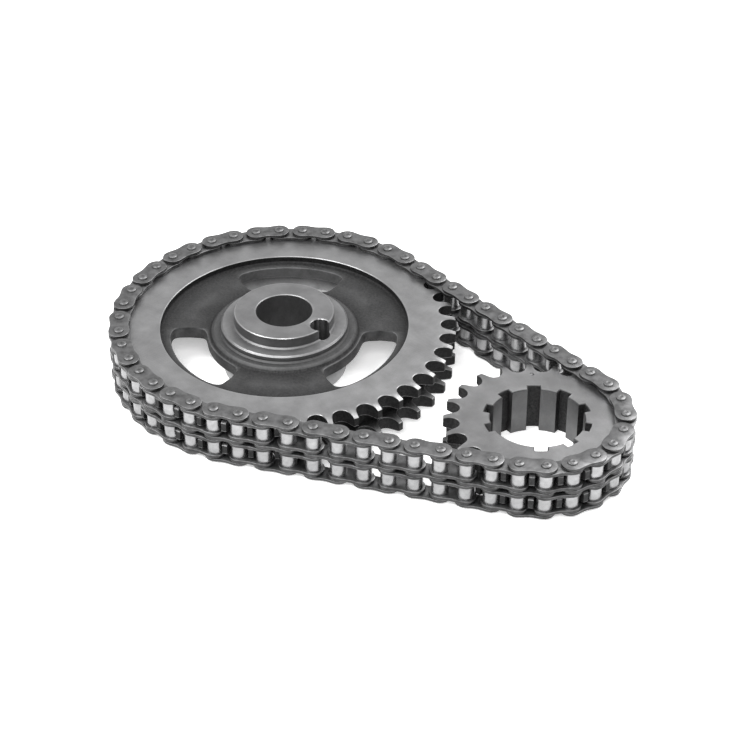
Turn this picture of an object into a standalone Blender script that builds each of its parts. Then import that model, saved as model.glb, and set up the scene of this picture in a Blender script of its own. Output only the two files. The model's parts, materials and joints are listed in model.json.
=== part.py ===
"""Double-row roller chain on its two timing sprockets, as separate solids.

Metres, +Z up along the shafts, +X from the large sprocket to the small one.
The set lies on z = 0, on its lower pin ends and rear hub faces, and its box is
centred on the origin.  Pins are numbered anticlockwise seen from above,
starting where the rear strand meets the large sprocket: 0 to CAM_LINKS lie on
the large sprocket, then come the front strand, the small sprocket and the rear
strand.  Links from an even pin are outer links, links from an odd pin inner.
"""

import math

import bmesh
import bpy

MM = 0.001

# Chain
PITCH = 9.525 * MM
ROLLER_RADIUS = 3.175 * MM
INNER_WIDTH = 5.72 * MM
INNER_PLATE = 1.30 * MM
MIDDLE_PLATE = 1.42 * MM
OUTER_PLATE = 1.10 * MM
PLATE_END_GAP = 1.325 * MM
PLATE_WAIST = 0.55 * MM
PIN_RADIUS = 1.64 * MM
PIN_END = 0.75 * MM
RIVET_LIP = 0.31 * MM
RIVET_BEVEL = 0.30 * MM
BUSHING_WALL = 0.55 * MM

# Loop
CAM_TEETH = 42
CRANK_TEETH = 21
CAM_LINKS = 25
CRANK_LINKS = 9
STRAND_LINKS = 11
REST_TURN = math.radians(2.3)

# Named clearances
SIDE_GAP = 0.25 * MM
RUNNING_GAP = 0.20 * MM
OPEN_PIVOT_GAP = 0.45 * MM
FIT_GAP = 0.06 * MM
SEAT_GAP = 0.20 * MM
TOOTH_SIDE_GAP = 0.20 * MM
CORE_GAP = 0.50 * MM
WELD = 0.20 * MM

# Teeth
TIP_ROOM = 1.175 * MM
SEAT_HALF_ARC = math.radians(60.0)
SEAT_CHORDS = 3

# Large sprocket; heights are above or below the middle of the chain
CAM_BORE_RADIUS = 10.9 * MM
CAM_HUB_RADIUS = 19.3 * MM
CAM_HUB_RISE = 13.9 * MM
CAM_COLLAR_RADIUS = 24.5 * MM
CAM_COLLAR_RISE = 9.2 * MM
CAM_BOSS_RADIUS = 28.2 * MM
CAM_BOSS_STEP = 1.5 * MM
CAM_RECESS_RADIUS = 48.0 * MM
CAM_RECESS_DEPTH = 3.0 * MM
CAM_WEB = 4.8 * MM
CAM_RIM_CHAMFER = 0.6 * MM
CAM_REAR_HUB_RADIUS = 24.0 * MM
WINDOW_COUNT = 3
WINDOW_INNER_RADIUS = 30.0 * MM
WINDOW_OUTER_RADIUS = 44.2 * MM
WINDOW_HALF_ANGLE = math.radians(30.5)
WINDOW_FIRST_ANGLE = math.radians(1.0)
DOWEL_RADIUS = 3.8 * MM
DOWEL_CIRCLE_RADIUS = 17.1 * MM
DOWEL_ANGLE = math.radians(-2.0)

# Small sprocket
CRANK_BORE_RADIUS = 17.4 * MM
KEYWAY_PLACES = 10
KEYWAY_COUNT = 9
KEYWAY_WIDTH = 4.76 * MM
KEYWAY_DEPTH = 2.4 * MM
KEYWAY_FIRST_ANGLE = math.radians(-56.8)
CRANK_REAR_HUB_RADIUS = 24.5 * MM

# Facets
PIN_SIDES = 6
ROLLER_SIDES = 6
FINE_SIDES = 12
PLATE_CORNERS = 4
FINE_CORNERS = 7
CAM_STEPS = 30

# Worked out from the above
PLATE_HALF_HEIGHT = (PITCH - PLATE_END_GAP) / 2
RIVET_RADIUS = PIN_RADIUS + RIVET_LIP
ROW_PITCH = INNER_WIDTH + 2 * INNER_PLATE + MIDDLE_PLATE + 2 * SIDE_GAP
OUTER_LOW = ROW_PITCH / 2 + INNER_WIDTH / 2 + INNER_PLATE + SIDE_GAP
OUTER_HIGH = OUTER_LOW + OUTER_PLATE
PIN_HALF = OUTER_HIGH + PIN_END
MID_Z = PIN_HALF
TOOTH_WIDTH = INNER_WIDTH - 2 * TOOTH_SIDE_GAP
TIP_WIDTH = PITCH - 2 * ROLLER_RADIUS - TIP_ROOM
RIM_RISE = ROW_PITCH / 2 + TOOTH_WIDTH / 2
BUSHING_BORE = PIN_RADIUS + RUNNING_GAP
BUSHING_RADIUS = BUSHING_BORE + BUSHING_WALL
CAM_STEP = 2 * math.pi / CAM_TEETH
CRANK_STEP = 2 * math.pi / CRANK_TEETH
CAM_PITCH_RADIUS = PITCH / 2 / math.sin(CAM_STEP / 2)
CRANK_PITCH_RADIUS = PITCH / 2 / math.sin(CRANK_STEP / 2)
FRONT_FIRST = CAM_LINKS
CRANK_FIRST = FRONT_FIRST + STRAND_LINKS
BACK_FIRST = CRANK_FIRST + CRANK_LINKS
LINK_COUNT = BACK_FIRST + STRAND_LINKS
DETAIL_INNER = FRONT_FIRST + 4
DETAIL_OUTER = DETAIL_INNER + 1

STEEL = ("plate_steel", (0.30, 0.30, 0.31), 0.38, 0.9)
BRIGHT = ("roller_steel", (0.62, 0.62, 0.63), 0.22, 1.0)
PIN_STEEL = ("pin_steel", (0.48, 0.48, 0.50), 0.28, 1.0)
IRON = ("cast_iron", (0.24, 0.24, 0.25), 0.55, 0.8)
BILLET = ("billet_steel", (0.45, 0.45, 0.46), 0.35, 0.9)


# ---------------------------------------------------------------- outlines

def polar(radius, angle, centre=(0.0, 0.0)):
    """Point at a radius and angle from a centre."""
    return (centre[0] + radius * math.cos(angle), centre[1] + radius * math.sin(angle))


def round_outline(radius, sides, centre=(0.0, 0.0)):
    """Regular polygon whose corners lie on the circle."""
    return [polar(radius, 2 * math.pi * k / sides, centre) for k in range(sides)]


def round_hole(radius, sides, centre=(0.0, 0.0)):
    """Regular polygon whose flats lie on the circle, so that the circle fits inside."""
    return round_outline(radius / math.cos(math.pi / sides), sides, centre)


def plate_outline(corners, waist=0.0, turn=0.0, start=(0.0, 0.0)):
    """Link plate from a pin at start to a pin one pitch on: two round ends, sides drawn in by waist."""
    right = [polar(PLATE_HALF_HEIGHT, math.pi * (k / (corners - 1) - 0.5)) for k in range(corners)]
    outline = [(x + PITCH, y) for x, y in right]
    if waist:
        outline.append((PITCH / 2, PLATE_HALF_HEIGHT - waist))
    outline += [(-x, -y) for x, y in right]
    if waist:
        outline.append((PITCH / 2, waist - PLATE_HALF_HEIGHT))
    turned = []
    for x, y in outline:
        turned.append((start[0] + x * math.cos(turn) - y * math.sin(turn),
                       start[1] + x * math.sin(turn) + y * math.cos(turn)))
    return turned


def tip_radius(teeth):
    """Outside radius of a roller chain sprocket."""
    return PITCH * (0.6 + 1 / math.tan(math.pi / teeth)) / 2


def toothed_outline(teeth, pitch_radius, first_seat):
    """Sprocket outline: a round seat for each roller, with flat-topped teeth between."""
    seat_radius = (ROLLER_RADIUS + SEAT_GAP) / math.cos(SEAT_HALF_ARC / SEAT_CHORDS)
    step = 2 * math.pi / teeth
    tip = tip_radius(teeth)
    half_tip = TIP_WIDTH / 2 / tip
    outline = []
    for k in range(teeth):
        seat_angle = first_seat + k * step
        seat = polar(pitch_radius, seat_angle)
        for chord in range(SEAT_CHORDS + 1):
            swing = SEAT_HALF_ARC * (1 - 2 * chord / SEAT_CHORDS)
            outline.append(polar(-seat_radius, seat_angle + swing, seat))
        outline.append(polar(tip, seat_angle + step / 2 - half_tip))
        outline.append(polar(tip, seat_angle + step / 2 + half_tip))
    return outline


def keyed_outline():
    """Small sprocket's bore with its ring of keyways; the places after the last keyway stay blank."""
    half = math.asin(KEYWAY_WIDTH / 2 / CRANK_BORE_RADIUS)
    depth_radius = CRANK_BORE_RADIUS + KEYWAY_DEPTH
    outer_half = math.asin(KEYWAY_WIDTH / 2 / depth_radius)
    outline = []
    for k in range(KEYWAY_PLACES):
        angle = KEYWAY_FIRST_ANGLE + 2 * math.pi * k / KEYWAY_PLACES
        outline.append(polar(CRANK_BORE_RADIUS, angle - half))
        if k < KEYWAY_COUNT:
            outline.append(polar(depth_radius, angle - outer_half))
            outline.append(polar(depth_radius, angle + outer_half))
        else:
            outline.append(polar(CRANK_BORE_RADIUS, angle))
        outline.append(polar(CRANK_BORE_RADIUS, angle + half))
        outline.append(polar(CRANK_BORE_RADIUS, angle + math.pi / KEYWAY_PLACES))
    return outline


def window_outline(middle, corners=5):
    """Arc-shaped window in the web."""
    swings = [WINDOW_HALF_ANGLE * (2 * k / (corners - 1) - 1) for k in range(corners)]
    outer = [polar(WINDOW_OUTER_RADIUS, middle + swing) for swing in swings]
    inner = [polar(WINDOW_INNER_RADIUS, middle - swing) for swing in swings]
    return outer + inner


# ---------------------------------------------------------------- the loop

def centre_distance(cam_pin, crank_pin):
    """Shaft distance at which a straight strand joins two seated pins, each given from its own shaft."""
    length = STRAND_LINKS * PITCH
    rise = crank_pin[1] - cam_pin[1]
    return cam_pin[0] - crank_pin[0] + math.sqrt(length ** 2 - rise ** 2)


def seat_angles(crank_turn):
    """Angles of the first and last seated pins: large sprocket rear and front, small sprocket front and rear."""
    cam_half = math.pi - CAM_LINKS * CAM_STEP / 2
    crank_half = CRANK_LINKS * CRANK_STEP / 2
    return (cam_half + REST_TURN, REST_TURN - cam_half,
            crank_turn - crank_half, crank_turn + crank_half)


def slack(crank_turn):
    """Shaft distance that the front strand asks for, less the one that the rear strand asks for."""
    cam_rear, cam_front, crank_front, crank_rear = seat_angles(crank_turn)
    front = centre_distance(polar(CAM_PITCH_RADIUS, cam_front), polar(CRANK_PITCH_RADIUS, crank_front))
    rear = centre_distance(polar(CAM_PITCH_RADIUS, cam_rear), polar(CRANK_PITCH_RADIUS, crank_rear))
    return front - rear


def loop_layout():
    """Turn of the small sprocket that makes both strands straight, and the shaft distance."""
    low, high = -CRANK_STEP, CRANK_STEP
    rising = slack(high) > slack(low)
    for _ in range(60):
        middle = (low + high) / 2
        if (slack(middle) > 0) == rising:
            high = middle
        else:
            low = middle
    turn = (low + high) / 2
    cam_front, crank_front = seat_angles(turn)[1:3]
    distance = centre_distance(polar(CAM_PITCH_RADIUS, cam_front), polar(CRANK_PITCH_RADIUS, crank_front))
    return turn, distance


def strand(start, end):
    """Pins strictly between the two ends of a straight strand."""
    shares = [k / STRAND_LINKS for k in range(1, STRAND_LINKS)]
    return [(start[0] + (end[0] - start[0]) * s, start[1] + (end[1] - start[1]) * s) for s in shares]


def loop_pins(crank_turn, distance):
    """All pin centres, with the large sprocket's shaft at (0, 0)."""
    cam_rear, _, crank_front, _ = seat_angles(crank_turn)
    cam = [polar(CAM_PITCH_RADIUS, cam_rear + k * CAM_STEP) for k in range(CAM_LINKS + 1)]
    crank = [polar(CRANK_PITCH_RADIUS, crank_front + k * CRANK_STEP, (distance, 0.0))
             for k in range(CRANK_LINKS + 1)]
    return cam + strand(cam[-1], crank[0]) + crank + strand(crank[-1], cam[0])


def link_angle(pins, index):
    """Direction of the link from one pin to the next."""
    x, y = pins[index]
    next_x, next_y = pins[(index + 1) % LINK_COUNT]
    return math.atan2(next_y - y, next_x - x)


def centre_of_box(pins):
    """Middle of the box round every link plate."""
    corners = []
    for index, pin in enumerate(pins):
        corners += plate_outline(PLATE_CORNERS, turn=link_angle(pins, index), start=pin)
    xs = [x for x, _ in corners]
    ys = [y for _, y in corners]
    return (min(xs) + max(xs)) / 2, (min(ys) + max(ys)) / 2


# ---------------------------------------------------------------- solids

def fresh_collection(name):
    """Empty collection in the scene."""
    collection = bpy.data.collections.new(name)
    bpy.context.scene.collection.children.link(collection)
    return collection


def workpiece(name, mesh):
    """Object for a shape that is still being worked on."""
    thing = bpy.data.objects.new(name, mesh)
    bpy.data.collections["workshop"].objects.link(thing)
    return thing


def evaluated_mesh(thing, name):
    """Mesh of an object with its modifiers applied; the object is removed."""
    bpy.context.view_layer.update()
    graph = bpy.context.evaluated_depsgraph_get()
    mesh = bpy.data.meshes.new_from_object(thing.evaluated_get(graph))
    mesh.name = name
    bpy.data.objects.remove(thing)
    return mesh


def tidy(mesh):
    """Weld touching points and turn the faces outwards."""
    shape = bmesh.new()
    shape.from_mesh(mesh)
    bmesh.ops.remove_doubles(shape, verts=shape.verts, dist=1e-6)
    bmesh.ops.recalc_face_normals(shape, faces=shape.faces)
    shape.to_mesh(mesh)
    shape.free()
    return mesh


def prism(name, outline, low, high, holes=()):
    """Flat outline, with holes, drawn up from one height to another."""
    curve = bpy.data.curves.new(name, "CURVE")
    curve.dimensions = "2D"
    curve.fill_mode = "BOTH"
    curve.extrude = (high - low) / 2
    for ring in (outline, *holes):
        spline = curve.splines.new("POLY")
        spline.points.add(len(ring) - 1)
        for point, (x, y) in zip(spline.points, ring):
            point.co = (x, y, 0.0, 1.0)
        spline.use_cyclic_u = True
    mesh = tidy(evaluated_mesh(workpiece(name, curve), name))
    for vertex in mesh.vertices:
        vertex.co.z += (low + high) / 2
    return workpiece(name, mesh)


def column(name, radius, sides, low, high, centre=(0.0, 0.0)):
    """Upright cylinder."""
    return prism(name, round_outline(radius, sides, centre), low, high)


def turned(name, profile, steps):
    """Closed profile of (radius, height) swept round the Z axis."""
    mesh = bpy.data.meshes.new(name)
    edges = [(k, (k + 1) % len(profile)) for k in range(len(profile))]
    if profile[0][0] == 0.0:
        edges.pop()
    mesh.from_pydata([(radius, 0.0, height) for radius, height in profile], edges, [])
    thing = workpiece(name, mesh)
    screw = thing.modifiers.new("turn", "SCREW")
    screw.angle = 2 * math.pi
    screw.steps = steps
    screw.render_steps = steps
    screw.use_merge_vertices = True
    screw.merge_threshold = 1e-6
    return workpiece(name, tidy(evaluated_mesh(thing, name)))


def combine(base, operation, tools):
    """Join the tools to the base, or cut them from it; the tools are used up."""
    for tool in tools:
        modifier = base.modifiers.new(operation.lower(), "BOOLEAN")
        modifier.operation = operation
        modifier.solver = "EXACT"
        modifier.object = tool
    mesh = evaluated_mesh(base, base.name)
    for tool in tools:
        bpy.data.objects.remove(tool)
    return workpiece(mesh.name, mesh)


# ---------------------------------------------------------------- link shapes

def outer_shapes(corners, waist=0.0):
    """Heights of the two outer plates and the middle plate, with their outline."""
    outline = plate_outline(corners, waist)
    levels = {"outer_plate_upper": (MID_Z + OUTER_LOW, MID_Z + OUTER_HIGH),
              "middle_plate": (MID_Z - MIDDLE_PLATE / 2, MID_Z + MIDDLE_PLATE / 2),
              "outer_plate_lower": (MID_Z - OUTER_HIGH, MID_Z - OUTER_LOW)}
    return outline, levels


def row_levels(side):
    """Heights of a row's roller space and of its two inner plates; side is 1 for upper, -1 for lower."""
    middle = MID_Z + side * ROW_PITCH / 2
    space = (middle - INNER_WIDTH / 2, middle + INNER_WIDTH / 2)
    return space, ((space[0] - INNER_PLATE, space[0]), (space[1], space[1] + INNER_PLATE))


def plate_parts(name, corners):
    """Plates of an outer link, without holes."""
    outline, levels = outer_shapes(corners)
    return [prism(f"{name}_{level}", outline, *heights) for level, heights in levels.items()]


def pin_columns(name, half_length):
    """Both pins of an outer link."""
    return [column(f"{name}_pin_{x:.4f}", PIN_RADIUS, PIN_SIDES, MID_Z - half_length, MID_Z + half_length,
                   (x, 0.0)) for x in (0.0, PITCH)]


def outer_link_mesh(name, pins_proud):
    """Outer link as one riveted solid: outer plates, middle plate and two pins."""
    half_length = PIN_HALF if pins_proud else (OUTER_LOW + OUTER_HIGH) / 2
    base, *plates = plate_parts(name, PLATE_CORNERS)
    return combine(base, "UNION", plates + pin_columns(name, half_length)).data


def inner_row_parts(name, side, turn=0.0, start=(0.0, 0.0)):
    """Two inner plates and two rollers of one row, from a pin at start."""
    space, plates = row_levels(side)
    outline = plate_outline(PLATE_CORNERS, turn=turn, start=start)
    parts = [prism(f"{name}_plate_{k}", outline, *heights) for k, heights in enumerate(plates)]
    for centre in (start, polar(PITCH, turn, start)):
        parts.append(column(f"{name}_roller", ROLLER_RADIUS, ROLLER_SIDES, space[0] - WELD, space[1] + WELD,
                            centre))
    return parts


def bore_cutter(name, gap, centre):
    """Cutter for the hole that runs on a pin."""
    outline = round_hole(PIN_RADIUS + gap, PIN_SIDES, centre)
    return prism(name, outline, MID_Z - 2 * PIN_HALF, MID_Z + 2 * PIN_HALF)


def inner_row_mesh(name, side, first_gap):
    """One row of an inner link as a solid: plates, bushings and rollers, bored for the pins."""
    base, *parts = inner_row_parts(name, side)
    body = combine(base, "UNION", parts)
    bores = [bore_cutter("first_bore", first_gap, (0.0, 0.0)),
             bore_cutter("second_bore", RUNNING_GAP, (PITCH, 0.0))]
    return combine(body, "DIFFERENCE", bores).data


def link_pair_mesh(name, bend):
    """Outer link and the inner link after it as one solid, bent at the pin between them."""
    half_length = (OUTER_LOW + OUTER_HIGH) / 2
    joint = (PITCH, 0.0)
    base, *parts = plate_parts(name, PLATE_CORNERS)
    parts += pin_columns(name, half_length)
    for side in (1, -1):
        parts += inner_row_parts(name, side, bend, joint)
    body = combine(base, "UNION", parts)
    return combine(body, "DIFFERENCE", [bore_cutter("far_bore", RUNNING_GAP, polar(PITCH, bend, joint))]).data


def pin_mesh():
    """Pin with a riveted head at each end, standing at the origin."""
    face = OUTER_HIGH + FIT_GAP
    upper = [(0.0, PIN_HALF), (RIVET_RADIUS - RIVET_BEVEL, PIN_HALF), (RIVET_RADIUS, PIN_HALF - RIVET_BEVEL),
             (RIVET_RADIUS, face), (PIN_RADIUS, face)]
    lower = [(radius, -height) for radius, height in reversed(upper)]
    profile = [(radius, MID_Z + height) for radius, height in upper + lower]
    return turned("pin", profile, FINE_SIDES).data


# ---------------------------------------------------------------- sprockets

def cam_sprocket_mesh(first_seat):
    """Large sprocket: two toothed rows on a rim, a recessed web with windows, and a stepped hub."""
    core = CAM_PITCH_RADIUS * math.cos(CAM_STEP / 2) - PLATE_HALF_HEIGHT - CORE_GAP
    web_top = RIM_RISE - CAM_RECESS_DEPTH
    web_low = web_top - CAM_WEB
    shoulder = RIM_RISE - CAM_RIM_CHAMFER
    wall = CAM_RECESS_RADIUS - CAM_RIM_CHAMFER
    profile = [(CAM_BORE_RADIUS / math.cos(math.pi / CAM_STEPS), CAM_HUB_RISE), (CAM_HUB_RADIUS, CAM_HUB_RISE),
               (CAM_HUB_RADIUS, CAM_COLLAR_RISE), (CAM_COLLAR_RADIUS, CAM_COLLAR_RISE),
               (CAM_COLLAR_RADIUS, web_top + CAM_BOSS_STEP), (CAM_BOSS_RADIUS, web_top + CAM_BOSS_STEP),
               (CAM_BOSS_RADIUS, web_top), (wall, web_top), (wall, shoulder), (core, shoulder),
               (core, -shoulder), (wall, -shoulder), (wall, web_low), (CAM_REAR_HUB_RADIUS, web_low),
               (CAM_REAR_HUB_RADIUS, -MID_Z), (CAM_BORE_RADIUS / math.cos(math.pi / CAM_STEPS), -MID_Z)]
    body = turned("cam_sprocket", [(radius, MID_Z + height) for radius, height in profile], CAM_STEPS)
    outline = toothed_outline(CAM_TEETH, CAM_PITCH_RADIUS, first_seat)
    hole = round_outline(CAM_RECESS_RADIUS, CAM_STEPS)
    rows = [prism(f"cam_row_{side}", outline, MID_Z + side * ROW_PITCH / 2 - TOOTH_WIDTH / 2,
                  MID_Z + side * ROW_PITCH / 2 + TOOTH_WIDTH / 2, [hole]) for side in (1, -1)]
    body = combine(body, "UNION", rows)
    cutters = [prism(f"window_{k}", window_outline(WINDOW_FIRST_ANGLE + 2 * math.pi * k / WINDOW_COUNT),
                     MID_Z + web_low - CAM_WEB, MID_Z + web_top + CAM_WEB) for k in range(WINDOW_COUNT)]
    dowel = round_hole(DOWEL_RADIUS, FINE_SIDES, polar(DOWEL_CIRCLE_RADIUS, DOWEL_ANGLE))
    cutters.append(prism("dowel_hole", dowel, -MID_Z, MID_Z + 2 * CAM_HUB_RISE))
    return combine(body, "DIFFERENCE", cutters).data


def crank_sprocket_mesh(first_seat):
    """Small sprocket: two toothed rows on a core, a rear hub, and a keyed bore."""
    core = CRANK_PITCH_RADIUS * math.cos(CRANK_STEP / 2) - PLATE_HALF_HEIGHT - CORE_GAP
    outline = toothed_outline(CRANK_TEETH, CRANK_PITCH_RADIUS, first_seat)
    sides = 2 * CRANK_TEETH
    body = column("crank_sprocket", core, sides, MID_Z - RIM_RISE + WELD, MID_Z + RIM_RISE - WELD)
    parts = [prism(f"crank_row_{side}", outline, MID_Z + side * ROW_PITCH / 2 - TOOTH_WIDTH / 2,
                   MID_Z + side * ROW_PITCH / 2 + TOOTH_WIDTH / 2) for side in (1, -1)]
    parts.append(column("rear_hub", CRANK_REAR_HUB_RADIUS, sides, 0.0, MID_Z))
    body = combine(body, "UNION", parts)
    return combine(body, "DIFFERENCE", [prism("keyed_bore", keyed_outline(), -MID_Z, 3 * MID_Z)]).data


# ---------------------------------------------------------------- assembly

def material(finish):
    """Principled material for a finish, made once."""
    name, colour, roughness, metallic = finish
    if name in bpy.data.materials:
        return bpy.data.materials[name]
    made = bpy.data.materials.new(name)
    made.use_nodes = True
    shader = made.node_tree.nodes["Principled BSDF"]
    shader.inputs["Base Color"].default_value = (*colour, 1.0)
    shader.inputs["Roughness"].default_value = roughness
    shader.inputs["Metallic"].default_value = metallic
    made.diffuse_color = (*colour, 1.0)
    return made


def place(name, mesh, finish, pivot, where=(0.0, 0.0), turn=0.0):
    """Finished sub-part, carried by the empty on its joint's axis."""
    if not mesh.materials:
        mesh.materials.append(material(finish))
    thing = bpy.data.objects.new(name, mesh)
    bpy.data.collections["roller_chain"].objects.link(thing)
    thing.parent = pivot
    thing.location = (where[0] - pivot.location.x, where[1] - pivot.location.y, 0.0)
    thing.rotation_euler = (0.0, 0.0, turn)
    return thing


def make_pivot(name, where):
    """Empty on a joint's axis."""
    pivot = bpy.data.objects.new(name, None)
    pivot.location = (where[0], where[1], 0.0)
    pivot.empty_display_size = PITCH
    bpy.data.collections["roller_chain"].objects.link(pivot)
    return pivot


def place_link(name, mesh, finish, pivot, pins, index):
    """Link from its numbered pin towards the next one."""
    return place(name, mesh, finish, pivot, pins[index], link_angle(pins, index))


def place_detailed_pair(pivot, pins):
    """One inner and one outer link of the front strand, taken down to their single pieces."""
    ends = ((0.0, "left"), (PITCH, "right"))
    press_radius = BUSHING_RADIUS + FIT_GAP
    outline = plate_outline(FINE_CORNERS, PLATE_WAIST)
    plate_holes = [round_hole(press_radius, FINE_SIDES, (x, 0.0)) for x, _ in ends]
    for side, row in ((1, "upper"), (-1, "lower")):
        space, plates = row_levels(side)
        for heights, where in zip(plates, ("bottom", "top")):
            plate = prism("inner_plate", outline, *heights, plate_holes)
            place_link(f"inner_plate_{row}_{where}", plate.data, STEEL, pivot, pins, DETAIL_INNER)
        for x, end in ends:
            tube = prism("bushing", round_outline(BUSHING_RADIUS, FINE_SIDES, (x, 0.0)),
                         plates[0][0], plates[1][1], [round_hole(BUSHING_BORE, FINE_SIDES, (x, 0.0))])
            place_link(f"bushing_{row}_{end}", tube.data, PIN_STEEL, pivot, pins, DETAIL_INNER)
            roller = prism("roller", round_outline(ROLLER_RADIUS, FINE_SIDES),
                           space[0] + RUNNING_GAP, space[1] - RUNNING_GAP,
                           [round_hole(BUSHING_RADIUS + RUNNING_GAP, FINE_SIDES)])
            centre = pins[DETAIL_INNER + (x > 0)]
            axle = make_pivot(f"roller_{row}_{end}_axis", centre)
            place(f"roller_{row}_{end}", roller.data, BRIGHT, axle, centre, link_angle(pins, DETAIL_INNER))
    pin_holes = [round_hole(PIN_RADIUS + FIT_GAP, FINE_SIDES, (x, 0.0)) for x, _ in ends]
    outline, levels = outer_shapes(FINE_CORNERS, PLATE_WAIST)
    for name, heights in levels.items():
        plate = prism("plate", outline, *heights, pin_holes)
        place_link(name, plate.data, STEEL, pivot, pins, DETAIL_OUTER)
    pin = pin_mesh()
    for offset, end in enumerate(("left", "right")):
        place(f"pin_{end}", pin, PIN_STEEL, pivot, pins[DETAIL_OUTER + offset])


def place_front_strand(pivot, pins):
    """Front strand: every outer link, and both rows of every inner link, on their own."""
    outer = outer_link_mesh("front_outer_link", True)
    rows = {"upper": inner_row_mesh("inner_row_upper", 1, RUNNING_GAP),
            "lower": inner_row_mesh("inner_row_lower", -1, RUNNING_GAP)}
    outer_number, inner_number = 0, 0
    for index in range(FRONT_FIRST, CRANK_FIRST):
        if index in (DETAIL_INNER, DETAIL_OUTER):
            continue
        if index % 2 == 0:
            outer_number += 1
            place_link(f"front_outer_link_{outer_number}", outer, STEEL, pivot, pins, index)
            continue
        inner_number += 1
        for row, mesh in rows.items():
            place_link(f"front_inner_link_{inner_number}_{row}", mesh, BRIGHT, pivot, pins, index)
    return rows


def place_pairs(prefix, mesh, pivot, pins, first, last):
    """Link pairs from one outer link up to, not including, another."""
    for number, index in enumerate(range(first, last, 2), start=1):
        place_link(f"{prefix}_{number:02d}", mesh, STEEL, pivot, pins, index)


def clear_scene():
    """Remove whatever the file holds."""
    for thing in list(bpy.data.objects):
        bpy.data.objects.remove(thing, do_unlink=True)


def main():
    """Lay out the loop and build every piece on it."""
    clear_scene()
    fresh_collection("roller_chain")
    workshop = fresh_collection("workshop")
    crank_turn, distance = loop_layout()
    pins = loop_pins(crank_turn, distance)
    middle_x, middle_y = centre_of_box(pins)
    pins = [(x - middle_x, y - middle_y) for x, y in pins]
    cam_shaft = (-middle_x, -middle_y)
    crank_shaft = (distance - middle_x, -middle_y)

    front = make_pivot("front_strand_axis", pins[FRONT_FIRST])
    cam = make_pivot("cam_axis", pins[FRONT_FIRST])
    crank = make_pivot("crank_axis", pins[CRANK_FIRST])
    back = make_pivot("back_strand_axis", pins[0])

    cam_rear, _, crank_front, _ = seat_angles(crank_turn)
    place("cam_sprocket", cam_sprocket_mesh(cam_rear), IRON, cam, cam_shaft)
    place("crank_sprocket", crank_sprocket_mesh(crank_front), BILLET, crank, crank_shaft)
    place_detailed_pair(front, pins)
    rows = place_front_strand(front, pins)
    open_rows = {"upper": inner_row_mesh("open_row_upper", 1, OPEN_PIVOT_GAP),
                 "lower": inner_row_mesh("open_row_lower", -1, OPEN_PIVOT_GAP)}
    for row in rows:
        place_link(f"back_inner_link_{row}", open_rows[row], BRIGHT, back, pins, BACK_FIRST)
    place_pairs("back_link_pair", link_pair_mesh("back_pair", 0.0), back, pins, BACK_FIRST + 1, LINK_COUNT)
    seated_outer = outer_link_mesh("seated_outer_link", False)
    place_pairs("cam_link_pair", link_pair_mesh("cam_pair", CAM_STEP), cam, pins, 0, CAM_LINKS - 1)
    place_link("cam_outer_link", seated_outer, STEEL, cam, pins, CAM_LINKS - 1)
    place_pairs("crank_link_pair", link_pair_mesh("crank_pair", CRANK_STEP), crank, pins, CRANK_FIRST,
                BACK_FIRST - 1)
    place_link("crank_outer_link", seated_outer, STEEL, crank, pins, BACK_FIRST - 1)

    for scrap in list(workshop.objects):
        bpy.data.objects.remove(scrap)
    bpy.data.collections.remove(workshop)


main()
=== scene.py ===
"""Looks of a double-row roller chain on its two timing sprockets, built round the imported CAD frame.

Every length is in metres.  A link's own drawing has its first pin on the Z axis, its second pin
one pitch along +X, and the middle of the chain at z = 0.
"""

import json
import logging
import math
from dataclasses import dataclass, field
from enum import Enum

import bpy
import numpy as np
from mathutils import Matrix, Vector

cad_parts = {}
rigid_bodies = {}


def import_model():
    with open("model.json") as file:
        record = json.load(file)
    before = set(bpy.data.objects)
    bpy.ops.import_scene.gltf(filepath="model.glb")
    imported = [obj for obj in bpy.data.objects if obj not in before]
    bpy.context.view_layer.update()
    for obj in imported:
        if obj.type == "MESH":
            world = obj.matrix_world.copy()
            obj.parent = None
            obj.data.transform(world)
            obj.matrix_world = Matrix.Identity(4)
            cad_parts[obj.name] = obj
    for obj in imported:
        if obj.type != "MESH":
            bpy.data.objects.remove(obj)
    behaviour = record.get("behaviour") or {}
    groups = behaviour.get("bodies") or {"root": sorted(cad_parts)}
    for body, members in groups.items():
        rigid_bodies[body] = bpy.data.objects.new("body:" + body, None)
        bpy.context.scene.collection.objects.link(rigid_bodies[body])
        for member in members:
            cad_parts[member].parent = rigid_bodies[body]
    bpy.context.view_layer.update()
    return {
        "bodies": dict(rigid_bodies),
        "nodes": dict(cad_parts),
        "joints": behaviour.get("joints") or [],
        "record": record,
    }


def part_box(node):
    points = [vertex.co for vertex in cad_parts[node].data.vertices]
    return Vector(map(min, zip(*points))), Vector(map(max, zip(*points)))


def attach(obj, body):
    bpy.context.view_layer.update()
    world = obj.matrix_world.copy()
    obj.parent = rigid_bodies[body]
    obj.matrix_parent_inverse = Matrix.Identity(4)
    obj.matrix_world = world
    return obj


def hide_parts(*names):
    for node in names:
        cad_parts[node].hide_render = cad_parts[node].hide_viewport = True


Array = np.ndarray
Ring = tuple[Array, Array | float, Array | float]  # points, edge brightening from handling and painted highlight, and rawness that also carries painted shade
MM = 0.001
WELD = 0.0005 * MM
DRILL_CLEAR = 1.0 * MM
DRILL_STEPS = 32
DOT_STEPS = 20
FULL_TURN = 2 * math.pi
SHARP_ANGLE = math.radians(32)
AIM_FROM_CAM = (42.15 * MM, -0.71 * MM)
log = logging.getLogger("roller_chain")


# ------------------------------------------------------------------ surfaces


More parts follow.
